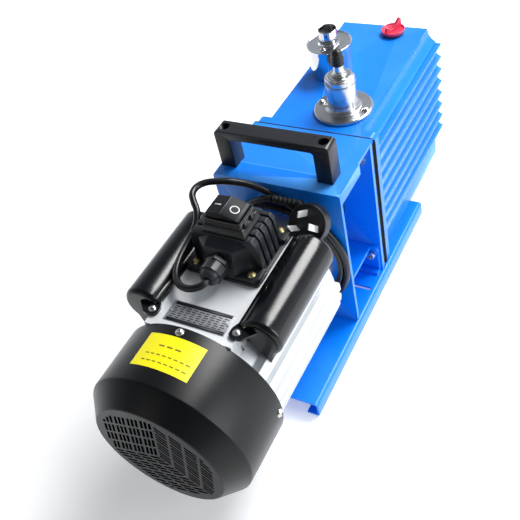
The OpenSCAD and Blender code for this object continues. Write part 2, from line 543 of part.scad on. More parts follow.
// level of the box: half widths at the ends and at the sides, half lengths at the ends and at the sides
module tb_level(z, ax, ly, xs, ls) translate([tb_x, tb_y, z]) linear_extrude(0.02)
    polygon([[-ax, -ly], [ax, -ly], [xs, -ls], [xs, ls], [ax, ly], [-ax, ly], [-xs, ls], [-xs, -ls]]);
module tb_saddle(d) translate([tb_x, 187]) polygon([[-37.5 + d, 0], [37.5 - d, 0], [34.5 - d, 36.5 - d * 0.4], [31.5 - d * 0.4, 41 - d], [-31.5 + d * 0.4, 41 - d], [-34.5 + d, 36.5 - d * 0.4]]);
module terminal_box() color("#1b1d21") difference() {
    union() {
        hull() { tb_level(187, 17.2, 38.1, 36, 19.4); tb_level(220, 14.7, 31.1, 33, 15.7); }
        hull() { tb_level(219.9, 14.7, 31.1, 33, 15.7); tb_level(227, 13.5, 21.7, 29.5, 6); }
        // ribbed saddle over the sides and the top
        difference() {
            yx(tb_y - 21.4, tb_y + 21.4) tb_saddle(0);
            for (g = [-134.1 : 9.1 : -106]) difference() { bx([-60, g - 1.1, 190.5], [60, g + 1.1, 240]); yx(g - 2, g + 2) tb_saddle(2); }
        }
        // flange, and ears for its screws
        bx([tb_x - 40, tb_y - 38, 187], [tb_x + 40, tb_y + 38, 190.5]);
        four() translate([0, 0, 187]) linear_extrude(8) polygon([[14, -37.1], [36, -37.1], [40, -33.1], [40, -19.2], [33, -19.2]]);
    }
    hull() { tb_level(186, 14.5, 31.6, 32, 18); tb_level(217, 11.6, 26.5, 29, 14.5); tb_level(223.5, 10.5, 19, 26, 5); }
    // wiring way, gland hole with its seat, and screw holes
    bx([-12, -138, 220], [12, -112, 240]);
    translate([-2, -160, 205]) rotate([-90, 0, 0]) cylinder(r = 8, h = 20);
    translate([-2, -175, 205]) rotate([-90, 0, 0]) cylinder(r = 13.2, h = 19);
    four() translate([tb_dx, tb_dy, 186]) cylinder(r = 2.1, h = 12);
}
module terminal_box_screws() color("#c8a83c") four() translate([tb_dx, tb_dy, 195]) {
    difference() { intersection() { translate([0, 0, -1.8]) sphere(r = 4.8); cylinder(r = 4.3, h = 4); } bx([-5, -0.5, 1.6], [5, 0.5, 4]); }
    translate([0, 0, -14]) cylinder(r = 1.85, h = 14.1);
}
module switch_housing() color("#17191c") difference() {
    union() {
        translate([0, 0, 228]) linear_extrude(15.8) translate([-19.9, -139.6]) square([40.4, 29.2]);
        hull() {
            translate([-22, -142.5, 228]) cube([46.5, 33, 3]);
            translate([-21, -141, 228]) cube([43, 30.5, 8]);
        }
    }
    bx([-18.3, -137.9, 231], [18.9, -112.1, 260]);
}
module switch_rocker() color("#1b1d20") difference() {
    translate([0, -112.5, 0]) rotate([90, 0, 0]) linear_extrude(25) polygon([[-16, 249.4], [0.3, 251.2], [18.2, 245], [18, 240.5], [9, 235], [-8, 235], [-15.6, 241]]);
    // shallow marks for on and off
    translate([-8.2, -125, 251.5]) rotate([0, -6.3, 0]) cube([1.2, 6.5, 3], center = true);
    translate([9.5, -125, 248]) rotate([0, 19, 0]) difference() { cylinder(r = 4.4, h = 3, $fn = 48); translate([0, 0, -1]) cylinder(r = 3.3, h = 6, $fn = 48); }
}
module cable_gland() color("#24262a") translate([-2, 0, 205]) {
    difference() {
        union() {
            translate([0, -161, 0]) rotate([-90, 30, 0]) cylinder(r = 12.6, h = 5, $fn = 6);
            translate([0, -162, 0]) rotate([-90, 0, 0]) cylinder(r = 7.9, h = 14);
            translate([0, -172.4, 0]) rotate([-90, 0, 0]) cylinder(r = 11.6, h = 10.6, $fn = 12);
            translate([0, -162, 0]) rotate([-90, 0, 0]) cylinder(r = 9, h = 2);
            translate([0, -179, 0]) rotate([-90, 0, 0]) cylinder(r1 = 6.2, r2 = 10.4, h = 7);
        }
        translate([0, -180, 0]) rotate([-90, 0, 0]) cylinder(r = cord_r, h = 2.02);
    }
}
// capacitor cover: round-ended tube on a skirt, with an ear for its screw
module cover_body(d) {
    translate([cov_x, cov_y1 - cap_cover_len + d, cov_z]) rotate([-90, 0, 0]) rotate_extrude() {
        square([cap_cover_r - 7, cap_cover_len - 2 * d]);
        translate([0, 7]) square([cap_cover_r - d, cap_cover_len - 14 - 2 * d]);
        for (y = [7, cap_cover_len - 7 - 2 * d]) translate([cap_cover_r - 7, y]) circle(7 - d);
    }
}
module capacitor_cover_right() color("#0f1013") cap_cover_right();
module cap_cover_right() difference() {
    union() {
        difference() {
            union() {
                cover_body(0);
                bx([46.4, cov_y1 - cap_cover_len + 5, 150], [74, cov_y1 - 5, 182]);
                bx([41.7, cov_y1 - cap_cover_len + 5, 187.05], [60, cov_y1 - 5, 192]);
                translate([45, -214, 187.05]) cylinder(r = 7, h = 3);
                bx([38, -214, 187.05], [52, -203, 190]);
            }
            yc(motor_r + 0.05, -235, -60);
            bx([-46.3, -240, 150], [46.3, -60, 187.05]);
            cover_body(1.8);
        }
    }
    translate([45, -214, 180]) cylinder(r = 2.1, h = 12);
}
module capacitor_cover_left() color("#0f1013") mirror([1, 0, 0]) cap_cover_right();
module capacitors() color("#9aa2ad") mx() yc(15, cov_y1 - cap_cover_len + 8, cov_y1 - 20, cov_x + 3.5, cov_z + 2.5);
module nameplate() color("#c9ccd0") {
    bx([-31, -220, 187], [34, -196, 187.5]);
    for (x = [-28.5, 31.5]) translate([x, -208, 187.4]) cylinder(r = 1.4, h = 0.9);
}

// ---- power cord ----
function unit(v) = v / norm(v);
// tube swept along points p with n sides, each ring turned from the one before
function frames(p, i = 0, prev = [0, 0, 1], acc = []) = i == len(p) ? acc :
    let (t = unit(p[min(i + 1, len(p) - 1)] - p[max(i - 1, 0)]), a = unit(prev - (prev * t) * t))
    frames(p, i + 1, a, concat(acc, [[t, a, cross(t, a)]]));
module tube(p, r, n) {
    f = frames(p);
    pts = [for (i = [0 : len(p) - 1]) for (k = [0 : n - 1]) p[i] + r * (cos(k * 360 / n) * f[i][1] + sin(k * 360 / n) * f[i][2])];
    m = len(p);
    polyhedron(points = pts, faces = concat(
        [[for (k = [0 : n - 1]) k]], [[for (k = [n - 1 : -1 : 0]) (m - 1) * n + k]],
        [for (i = [0 : m - 2]) for (k = [0 : n - 1]) [i * n + k, (i + 1) * n + k, (i + 1) * n + (k + 1) % n]],
        [for (i = [0 : m - 2]) for (k = [0 : n - 1]) [i * n + k, (i + 1) * n + (k + 1) % n, i * n + (k + 1) % n]]));
}
module power_cord() color("#121315") tube(route, cord_r, 10);
// plug, lying against the bracket with its pins outwards
module plug_at() translate(plug_c) rotate([53.13, 0, 0]) children();
module plug_body() color("#141517") {
    difference() {
        plug_at() union() {
            translate([0, 0, -19.5]) cylinder(r1 = 17, r2 = 20, h = 4);
            translate([0, 0, -15.6]) cylinder(r = 20, h = 15.6);
        }
        pins_only(0.01);
    }
    // moulded strain relief
    hull() {
        plug_at() translate([-13.5, 12, -13]) sphere(r = 5.2, $fn = 24);
        plug_at() translate([-17, 15, -13.5]) sphere(r = 5.2, $fn = 24);
    }
    hull() {
        plug_at() translate([-17, 15, -13.5]) sphere(r = 5.2, $fn = 24);
        translate([6.2, -59.5, 203.5]) rotate([0, 90, -2]) cylinder(r = 4.4, h = 2, $fn = 24);
    }
}
// three flat pins, two of them leaning a little
module pins_only(g) plug_at() {
    translate([-1.4, 10.7, 7 - g]) cube([1.6 + g, 6.4 + g, 26], center = true);
    translate([12, -3.2, 0]) rotate([-15, -12, 8]) translate([0, 0, 4.5 - g]) cube([1.6 + g, 6.4 + g, 21], center = true);
    translate([-9, -6, 0]) rotate([-7.5, -1.7, 51]) translate([0, 0, 5 - g]) cube([1.6 + g, 6.4 + g, 22], center = true);
}
module plug_pins() color("#cfd2d6") pins_only(0);

base_channel();
bracket();
handle();
frame_bolts();
box_gasket();
oil_box();
sight_glass_ring();
sight_glass_lens();
drain_plug();
oil_filler_cap();
oil_cap_seal();
inlet_flange();
port_screws();
inlet_nut();
inlet_nozzle();
inlet_rubber_cap();
inlet_tube();
exhaust_can();
exhaust_filter();
pump_front_plate();
shaft_seal();
hv_stator();
middle_plate();
lv_stator();
pump_rear_plate();
pump_tie_bolts();
hv_rotor();
lv_rotor();
hv_vane_left();
hv_vane_right();
lv_vane_left();
lv_vane_right();
vane_springs();
discharge_reed();
coupling_motor_half();
coupling_spider();
coupling_pump_half();
motor_frame();
drive_end_shield();
fan_end_shield();
stator_core();
stator_windings();
motor_rotor();
motor_shaft();
motor_bearings();
cooling_fan();
fan_cowl();
cover_screws();
terminal_box();
terminal_box_screws();
switch_housing();
switch_rocker();
cable_gland();
capacitor_cover_left();
capacitor_cover_right();
capacitors();
nameplate();
power_cord();
plug_body();
plug_pins();
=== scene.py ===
import math
import bpy
import bmesh
import numpy as np
from mathutils import Matrix, Vector


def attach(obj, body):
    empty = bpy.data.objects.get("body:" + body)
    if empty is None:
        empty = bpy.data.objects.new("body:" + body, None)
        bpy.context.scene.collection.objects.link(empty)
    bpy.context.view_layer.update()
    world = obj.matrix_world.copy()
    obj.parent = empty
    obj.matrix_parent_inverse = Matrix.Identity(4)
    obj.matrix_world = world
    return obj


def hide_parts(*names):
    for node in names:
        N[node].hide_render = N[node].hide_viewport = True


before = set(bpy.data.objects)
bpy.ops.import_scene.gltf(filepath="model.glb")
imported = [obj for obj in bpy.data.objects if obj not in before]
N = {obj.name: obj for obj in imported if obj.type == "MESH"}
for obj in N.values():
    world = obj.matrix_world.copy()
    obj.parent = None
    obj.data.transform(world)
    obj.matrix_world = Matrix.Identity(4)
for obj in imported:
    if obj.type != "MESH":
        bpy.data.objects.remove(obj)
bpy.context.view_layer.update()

MM = 0.001


scene = bpy.context.scene

# ------------------------------------------------------------------ camera
a, el, roll = math.radians(37.769), math.radians(44.207), math.radians(-14.949)
eye = Vector((344.774, -498.208 - 44.0, 698.84)) * MM
back = Vector((math.sin(a) * math.cos(el), -math.cos(a) * math.cos(el), math.sin(el)))
right = Vector((0, 0, 1)).cross(back).normalized()
up = back.cross(right)
cx = right * math.cos(roll) + up * math.sin(roll)
cy = -right * math.sin(roll) + up * math.cos(roll)
cam_data = bpy.data.cameras.new("camera")
cam_data.sensor_width = 36
cam_data.lens = 772.472 * 36 / 520
cam_data.clip_start = 0.01
cam = bpy.data.objects.new("camera", cam_data)
cam.matrix_world = Matrix(((cx.x, cy.x, back.x, eye.x), (cx.y, cy.y, back.y, eye.y), (cx.z, cy.z, back.z, eye.z), (0, 0, 0, 1)))
scene.collection.objects.link(cam)
scene.camera = cam

# ------------------------------------------------------------------ light and floor
scene.view_settings.view_transform = "Standard"
scene.view_settings.look = "None"


def area(name, loc, target, size, power, color=(1, 1, 1)):
    d = bpy.data.lights.new(name, "AREA")
    d.shape = "RECTANGLE"
    d.size, d.size_y = size
    d.energy = power
    d.color = color
    o = bpy.data.objects.new(name, d)
    o.location = loc
    o.rotation_euler = (Vector(target) - Vector(loc)).to_track_quat("-Z", "Y").to_euler()
    scene.collection.objects.link(o)
    return o


area("key", (0.55, 1.15, 1.75), (0, 0, 0.1), (1.3, 0.8), 58)
area("side", (1.7, 0.1, 0.75), (0, -0.05, 0.12), (0.7, 1.3), 13, (0.93, 0.97, 1))
area("front", (-0.55, -1.7, 0.85), (0, -0.1, 0.1), (0.8, 0.5), 0.9, (1, 0.97, 0.93))
world = bpy.data.worlds.new("studio")
scene.world = world
world.use_nodes = True
wb = world.node_tree.nodes["Background"]
wt = world.node_tree
wtc = wt.nodes.new("ShaderNodeTexCoord")
wsep = wt.nodes.new("ShaderNodeSeparateXYZ")
wt.links.new(wtc.outputs["Generated"], wsep.inputs["Vector"])


def world_ramp(axis, lo, hi, stops):
    mr_ = wt.nodes.new("ShaderNodeMapRange")
    mr_.inputs["From Min"].default_value = lo
    mr_.inputs["From Max"].default_value = hi
    wt.links.new(wsep.outputs[axis], mr_.inputs["Value"])
    cr_ = wt.nodes.new("ShaderNodeValToRGB")
    el_ = cr_.color_ramp.elements
    while len(el_) < len(stops):
        el_.new(0.5)
    for e_, (pos, v) in zip(el_, stops):
        e_.position = pos
        e_.color = (0.93 * v, 0.96 * v, v, 1)
    wt.links.new(mr_.outputs["Result"], cr_.inputs["Fac"])
    return cr_


# bright walls and a dark ceiling, darker behind the motor end
wz = world_ramp("Z", -1, 1, [(0.0, 1.0), (0.56, 1.0), (0.70, 0.6), (0.84, 0.26), (1.0, 0.2)])
wy = world_ramp("Y", -1, 1, [(0.0, 0.25), (0.35, 0.5), (0.6, 1.0), (1.0, 1.0)])
wm = wt.nodes.new("ShaderNodeMix")
wm.data_type = "RGBA"
wm.blend_type = "MULTIPLY"
wm.inputs[0].default_value = 1.0
wt.links.new(wz.outputs["Color"], wm.inputs[6])
wt.links.new(wy.outputs["Color"], wm.inputs[7])
wt.links.new(wm.outputs[2], wb.inputs["Color"])
wb.inputs["Strength"].default_value = 1.0


# ------------------------------------------------------------------ materials
def lin(r, g, b):
    f = lambda c: c / 12.92 if c <= 0.04045 else ((c + 0.055) / 1.055) ** 2.4
    return (f(r / 255), f(g / 255), f(b / 255), 1)


def material(name, color, rough=0.4, metal=0.0, coat=0.0, bump=0.0, scale=900.0, dist=0.00004, rvar=0.06,
             cvar=0.03, stretch=(1, 1, 1), detail=3.0, spec=0.5, sheen=0.0, dust=0.0, edge_highlight=0.0, edge_highlight_color=None):
    """A surface with fine grain in its bump, uneven gloss, slight colour drift, and a painted highlight on its convex
    edges.
    """
    m = bpy.data.materials.new(name)
    m.use_nodes = True
    t = m.node_tree
    n, l = t.nodes, t.links
    b = n["Principled BSDF"]
    b.inputs["Metallic"].default_value = metal
    b.inputs["Coat Weight"].default_value = coat
    b.inputs["Coat Roughness"].default_value = 0.12
    b.inputs["Specular IOR Level"].default_value = spec
    b.inputs["Sheen Weight"].default_value = sheen
    tc = n.new("ShaderNodeTexCoord")
    mp = n.new("ShaderNodeMapping")
    mp.inputs["Scale"].default_value = stretch
    l.new(tc.outputs["Object"], mp.inputs["Vector"])
    fine = n.new("ShaderNodeTexNoise")
    fine.inputs["Scale"].default_value = scale
    fine.inputs["Detail"].default_value = detail
    l.new(mp.outputs["Vector"], fine.inputs["Vector"])
    broad = n.new("ShaderNodeTexNoise")
    broad.inputs["Scale"].default_value = 14.0
    broad.inputs["Detail"].default_value = 5.0
    l.new(tc.outputs["Object"], broad.inputs["Vector"])
    # gloss
    add = n.new("ShaderNodeMath")
    add.operation = "ADD"
    l.new(broad.outputs["Fac"], add.inputs[0])
    l.new(fine.outputs["Fac"], add.inputs[1])
    r = n.new("ShaderNodeMapRange")
    r.inputs["From Min"].default_value = 0.6
    r.inputs["From Max"].default_value = 1.4
    r.inputs["To Min"].default_value = max(rough - rvar, 0.02)
    r.inputs["To Max"].default_value = min(rough + rvar, 1)
    l.new(add.outputs["Value"], r.inputs["Value"])
    l.new(r.outputs["Result"], b.inputs["Roughness"])
    # colour
    c = n.new("ShaderNodeValToRGB")
    c.color_ramp.elements[0].position = 0.3
    c.color_ramp.elements[1].position = 0.7
    c.color_ramp.elements[0].color = [max(v * (1 - cvar), 0) for v in color[:3]] + [1]
    c.color_ramp.elements[1].color = [min(v * (1 + cvar), 1) for v in color[:3]] + [1]
    l.new(broad.outputs["Fac"], c.inputs["Fac"])
    out = c.outputs["Color"]
    # painted highlight: a lighter colour on convex edges, picked out by pointiness and broken up by noise, stands in
    # for light catching the edges
    if edge_highlight:
        g = n.new("ShaderNodeNewGeometry")
        w = n.new("ShaderNodeMapRange")
        w.inputs["From Min"].default_value = 0.53
        w.inputs["From Max"].default_value = 0.62
        w.inputs["To Max"].default_value = edge_highlight
        l.new(g.outputs["Pointiness"], w.inputs["Value"])
        mul = n.new("ShaderNodeMath")
        mul.operation = "MULTIPLY"
        l.new(w.outputs["Result"], mul.inputs[0])
        l.new(broad.outputs["Fac"], mul.inputs[1])
        mix = n.new("ShaderNodeMix")
        mix.data_type = "RGBA"
        mix.inputs[7].default_value = edge_highlight_color or (0.8, 0.9, 1, 1)
        l.new(mul.outputs["Value"], mix.inputs[0])
        l.new(out, mix.inputs[6])
        out = mix.outputs[2]
    l.new(out, b.inputs["Base Color"])
    if bump:
        bp = n.new("ShaderNodeBump")
        bp.inputs["Strength"].default_value = bump
        bp.inputs["Distance"].default_value = dist
        l.new(fine.outputs["Fac"], bp.inputs["Height"])
        l.new(bp.outputs["Normal"], b.inputs["Normal"])
    return m


M = {}
# the lighter blue laid on the edges of both blue paints is a painted edge highlight
M["blue"] = material("blue_paint", lin(0, 130, 250), 0.3, coat=0.08, spec=0.35, bump=0.25, scale=420, dist=0.00005, rvar=0.05, cvar=0.03, edge_highlight=0.5, edge_highlight_color=(0.25, 0.72, 1, 1))
M["blue_cast"] = material("blue_paint_on_casting", lin(0, 128, 248), 0.34, coat=0.08, spec=0.35, bump=0.4, scale=300, dist=0.00008, rvar=0.06, cvar=0.04, edge_highlight=0.5, edge_highlight_color=(0.25, 0.75, 1, 1))
M["black"] = material("black_moulding", lin(15, 16, 19), 0.34, bump=0.35, scale=1500, dist=0.00003, rvar=0.07, cvar=0.12)
M["handle"] = material("handle_moulding", lin(15, 17, 23), 0.36, bump=0.4, scale=1700, dist=0.00003, rvar=0.06, cvar=0.12)
M["box_black"] = material("terminal_box_moulding", lin(21, 26, 33), 0.38, bump=0.35, scale=1400, dist=0.00003, rvar=0.07, cvar=0.10)
M["gloss_black"] = material("gloss_black_cover", lin(6, 8, 12), 0.22, coat=0.1, spec=0.42, bump=0.25, scale=500, dist=0.00005, rvar=0.06, cvar=0.15)
M["cowl"] = material("satin_black_cowl", lin(9, 10, 12), 0.33, coat=0.0, spec=0.32, bump=0.35, scale=1100, dist=0.00003, rvar=0.05, cvar=0.10)
M["rubber"] = material("black_rubber", lin(13, 14, 17), 0.42, bump=0.4, scale=1300, dist=0.00004, rvar=0.08, cvar=0.12)
M["gasket"] = material("gasket_rubber", lin(10, 10, 12), 0.6, bump=0.4, scale=1300, rvar=0.08)
M["cord"] = material("cord_sheath", lin(11, 12, 14), 0.33, bump=0.3, scale=1200, dist=0.00003, rvar=0.07, cvar=0.12)
M["plug"] = material("plug_moulding", lin(14, 14, 16), 0.45, bump=0.5, scale=1500, dist=0.00004, rvar=0.07, cvar=0.12)
M["alu"] = material("extruded_aluminium", (0.86, 0.885, 0.9, 1), 0.42, metal=0.35, bump=0.3, scale=700, dist=0.00003, rvar=0.06, cvar=0.02, stretch=(1, 0.03, 1))
M["alu_cast"] = material("cast_aluminium", (0.72, 0.74, 0.76, 1), 0.45, metal=0.8, bump=0.7, scale=500, dist=0.00008, rvar=0.1, cvar=0.06)
M["steel"] = material("turned_stainless", (0.60, 0.61, 0.625, 1), 0.24, metal=1.0, bump=0.25, scale=260, dist=0.00003, rvar=0.05, cvar=0.03, stretch=(0.15, 0.15, 16))
M["chrome"] = material("chrome", (0.70, 0.71, 0.73, 1), 0.07, metal=1.0, bump=0.08, scale=60, dist=0.0001, rvar=0.03, cvar=0.02)
M["zinc"] = material("zinc_steel", (0.68, 0.68, 0.67, 1), 0.26, metal=1.0, bump=0.3, scale=900, rvar=0.08, cvar=0.06)
M["yzinc"] = material("yellow_zinc_steel", (0.78, 0.64, 0.30, 1), 0.3, metal=1.0, bump=0.3, scale=900, rvar=0.1, cvar=0.2)
M["brass"] = material("brass", (0.75, 0.56, 0.24, 1), 0.28, metal=1.0, bump=0.2, scale=700, rvar=0.08, cvar=0.05)
M["iron"] = material("machined_iron", (0.42, 0.44, 0.46, 1), 0.35, metal=1.0, bump=0.5, scale=500, dist=0.00004, rvar=0.1, cvar=0.08)
M["vane"] = material("vane_composite", lin(70, 58, 46), 0.6, bump=0.6, scale=900, rvar=0.08, cvar=0.15)
M["spring"] = material("spring_steel", (0.55, 0.56, 0.58, 1), 0.3, metal=1.0, bump=0.3, scale=900)
M["seal"] = material("seal_rubber", lin(90, 45, 28), 0.55, bump=0.4, scale=900, cvar=0.1)
M["spider"] = material("red_elastomer", lin(190, 40, 30), 0.5, bump=0.4, scale=900, cvar=0.08)
M["core"] = material("laminated_steel", (0.35, 0.36, 0.38, 1), 0.45, metal=0.9, bump=1.0, scale=60, dist=0.0002, rvar=0.1, stretch=(0.05, 30, 0.05))
M["copper"] = material("enamelled_copper", (0.62, 0.26, 0.12, 1), 0.35, metal=0.9, bump=1.0, scale=140, dist=0.0002, rvar=0.1, cvar=0.15)
M["can"] = material("capacitor_can", (0.6, 0.62, 0.66, 1), 0.3, metal=1.0, bump=0.2, scale=500)
M["red"] = material("red_cap_plastic", lin(232, 60, 92), 0.34, coat=0.15, bump=0.3, scale=1000, dist=0.00003, rvar=0.07, cvar=0.05, spec=0.5)
M["dark"] = material("dark_inside", lin(8, 8, 9), 0.8, bump=0.3, scale=800)
M["white_mark"] = material("white_print", lin(225, 228, 230), 0.5, bump=0.2, scale=1500, cvar=0.02)


def gauze_material():
    m = material("wire_gauze", (0.16, 0.165, 0.17, 1), 0.4, metal=0.9, rvar=0.1)
    t = m.node_tree
    n, l = t.nodes, t.links
    b = n["Principled BSDF"]
    tc = n.new("ShaderNodeTexCoord")
    w = []
    for rot in (0.0, math.pi / 2):
        mp = n.new("ShaderNodeMapping")
        mp.inputs["Rotation"].default_value = (0, 0, rot + 0.6)
        l.new(tc.outputs["Object"], mp.inputs["Vector"])
        wave = n.new("ShaderNodeTexWave")
        wave.inputs["Scale"].default_value = 330
        l.new(mp.outputs["Vector"], wave.inputs["Vector"])
        w.append(wave)
    mx = n.new("ShaderNodeMath")
    mx.operation = "MAXIMUM"
    l.new(w[0].outputs["Fac"], mx.inputs[0])
    l.new(w[1].outputs["Fac"], mx.inputs[1])
    bp = n.new("ShaderNodeBump")
    bp.inputs["Strength"].default_value = 1.0
    bp.inputs["Distance"].default_value = 0.0004
    l.new(mx.outputs["Value"], bp.inputs["Height"])
    l.new(bp.outputs["Normal"], b.inputs["Normal"])
    cr = n.new("ShaderNodeValToRGB")
    cr.color_ramp.elements[0].color = (0.004, 0.004, 0.004, 1)
    cr.color_ramp.elements[1].color = (0.12, 0.12, 0.125, 1)
    l.new(mx.outputs["Value"], cr.inputs["Fac"])
    l.new(cr.outputs["Color"], b.inputs["Base Color"])
    return m


M["gauze"] = gauze_material()


def glass_material():
    m = material("sight_glass", (0.55, 0.42, 0.16, 1), 0.06, rvar=0.03, bump=0.05, scale=200)
    m.node_tree.nodes["Principled BSDF"].inputs["Transmission Weight"].default_value = 0.5
    return m


M["glass"] = glass_material()


# ------------------------------------------------------------------ mesh helpers
def link(me, name):
    o = bpy.data.objects.new(name, me)
    scene.collection.objects.link(o)
    return o


def from_bm(bm, name, smooth=True):
    bmesh.ops.recalc_face_normals(bm, faces=bm.faces)
    me = bpy.data.meshes.new(name)
    bm.to_mesh(me)
    bm.free()
    for p in me.polygons:
        p.use_smooth = smooth
    return link(me, name)


def rounded(pts, seg=6):
    """A polyline or polygon with its corners rounded. Each point is (x, y) or (x, y, radius)."""
    out = []
    n = len(pts)
    for i, p in enumerate(pts):
        r = p[2] if len(p) > 2 else 0
        q = np.array(p[:2], float)
        if r <= 0:
            out.append(tuple(q))
            continue
        a_, b_ = np.array(pts[(i - 1) % n][:2], float), np.array(pts[(i + 1) % n][:2], float)
        u, v = a_ - q, b_ - q
        lu, lv = np.linalg.norm(u), np.linalg.norm(v)
        u, v = u / lu, v / lv
        cosang = float(np.clip(np.dot(u, v), -1, 1))
        half = math.acos(cosang) / 2
        if half > math.pi / 2 - 1e-3:
            out.append(tuple(q))
            continue
        d = min(r / math.tan(half), lu * 0.499, lv * 0.499)
        rr_ = d * math.tan(half)
        c = q + (u + v) / np.linalg.norm(u + v) * (rr_ / math.sin(half))
        s, e_ = q + u * d, q + v * d
        a0 = math.atan2(*(s - c)[::-1])
        a1 = math.atan2(*(e_ - c)[::-1])
        da = (a1 - a0 + math.pi) % (2 * math.pi) - math.pi
        for k in range(seg + 1):
            t = a0 + da * k / seg
            out.append((c[0] + rr_ * math.cos(t), c[1] + rr_ * math.sin(t)))
    return out


def lathe(name, prof, at=(0, 0, 0), axis="z", segs=96, closed=False):
    """Turned solid. prof is (radius, height) in mm: from axis to axis, or a closed ring."""
    bm = bmesh.new()
    rings = []
    for r, h in prof:
        if r < 1e-6:
            rings.append([bm.verts.new((0, 0, h))])
        else:
            rings.append([bm.verts.new((r * math.cos(2 * math.pi * k / segs), r * math.sin(2 * math.pi * k / segs), h)) for k in range(segs)])
    m = len(rings)
    for i in range(m if closed else m - 1):
        A, B = rings[i], rings[(i + 1) % m]
        if len(A) == 1 and len(B) == 1:
            continue
        for k in range(segs):
            j = (k + 1) % segs
            if len(A) == 1:
                bm.faces.new((A[0], B[k], B[j]))
            elif len(B) == 1:
                bm.faces.new((A[k], A[j], B[0]))
            else:
                bm.faces.new((A[k], A[j], B[j], B[k]))
    if axis == "y":
        rot = Matrix.Rotation(-math.pi / 2, 4, "X")
    elif axis == "-y":
        rot = Matrix.Rotation(math.pi / 2, 4, "X")
    elif isinstance(axis, Matrix):
        rot = axis
    else:
        rot = Matrix.Identity(4)
    bmesh.ops.transform(bm, matrix=Matrix.Scale(MM, 4) @ Matrix.Translation(Vector(at)) @ rot, verts=bm.verts)
    return from_bm(bm, name)


def prism(name, poly, lo, hi, plane="xz", z=None):
    """Straight solid from a polygon in mm. plane xz: along Y, xy: along Z."""
    bm = bmesh.new()
    f = (lambda p, h: (p[0], h, p[1])) if plane == "xz" else (lambda p, h: (p[0], p[1], h)) if plane == "xy" else (lambda p, h: (h, p[0], p[1]))
    A = [bm.verts.new(Vector(f(p, lo)) * MM) for p in poly]
    B = [bm.verts.new(Vector(f(p, hi)) * MM) for p in poly]
    n = len(poly)
    bm.faces.new(A)
    bm.faces.new(B[::-1])
    for k in range(n):
        j = (k + 1) % n
        bm.faces.new((A[k], A[j], B[j], B[k]))
    return from_bm(bm, name)


def loft(name, rings, caps=True):
    """Solid through rings of the same count, points in mm."""
    bm = bmesh.new()
    R = [[bm.verts.new(Vector(p) * MM) for p in ring] for ring in rings]
    n = len(R[0])
    for A, B in zip(R, R[1:]):
        for k in range(n):
            j = (k + 1) % n
            bm.faces.new((A[k], A[j], B[j], B[k]))
    if caps:
        bm.faces.new(R[0])
        bm.faces.new(R[-1][::-1])
    return from_bm(bm, name)


def rbox(name, lo, hi, r=1.0, seg=3):
    bm = bmesh.new()
    bmesh.ops.create_cube(bm, size=1)
    lo, hi = Vector(lo) * MM, Vector(hi) * MM
    for v in bm.verts:
        v.co = Vector([lo[i] if v.co[i] < 0 else hi[i] for i in range(3)])
    if r:
        bmesh.ops.bevel(bm, geom=list(bm.edges), offset=r * MM, segments=seg, profile=0.5, affect="EDGES")
    return from_bm(bm, name)


def join(name, objs):
    """One object from several closed solids."""
    bm = bmesh.new()
    for o in objs:
        me = o.data.copy()
        me.transform(o.matrix_world)
        bm.from_mesh(me)
        bpy.data.meshes.remove(me)
        bpy.data.objects.remove(o)
    me = bpy.data.meshes.new(name)
    bm.to_mesh(me)
    bm.free()
    return link(me, name)


def bevel(o, w=0.4, seg=3, angle=35, harden=True):
    m = o.modifiers.new("edges", "BEVEL")
    m.width = w * MM
    m.segments = seg
    m.limit_method = "ANGLE"
    m.angle_limit = math.radians(angle)
    m.harden_normals = harden
    m.use_clamp_overlap = True
    m.miter_outer = "MITER_ARC"
    return o


def boolean(o, cutter, op="DIFFERENCE", solver="EXACT"):
    m = o.modifiers.new("cut", "BOOLEAN")
    m.operation = op
    m.object = cutter
    m.solver = solver
    dg = bpy.context.evaluated_depsgraph_get()
    dg.update()
    me = bpy.data.meshes.new_from_object(o.evaluated_get(dg))
    old = o.data
    o.modifiers.clear()
    o.data = me
    bpy.data.meshes.remove(old)
    bpy.data.objects.remove(cutter)
    return o


def shade(o, angle=32):
    """Smooth within surfaces, sharp over the given angle."""
    for p in o.data.polygons:
        p.use_smooth = True
    o.data.set_sharp_from_angle(angle=math.radians(angle))
    return o


def put(o, body, mat, *nodes, slot=None):
    o.data.materials.clear()
    for m in (mat if isinstance(mat, (list, tuple)) else [mat]):
        o.data.materials.append(M[m] if isinstance(m, str) else m)
    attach(o, body)
    if nodes:
        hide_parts(*nodes)
    return o


def dress(node, mat, w=0.4, seg=2, angle=35):
    """A CAD node that stays: better material, and small rounded edges."""
    o = N[node]
    me = o.data
    if me.attributes.get("custom_normal"):
        me.attributes.remove(me.attributes["custom_normal"])
    me.materials.clear()
    me.materials.append(M[mat])
    for p in me.polygons:
        p.use_smooth = True
    wd = o.modifiers.new("weld", "WELD")
    wd.merge_threshold = 2e-6
    if w:
        bevel(o, w, seg, angle)
    return o


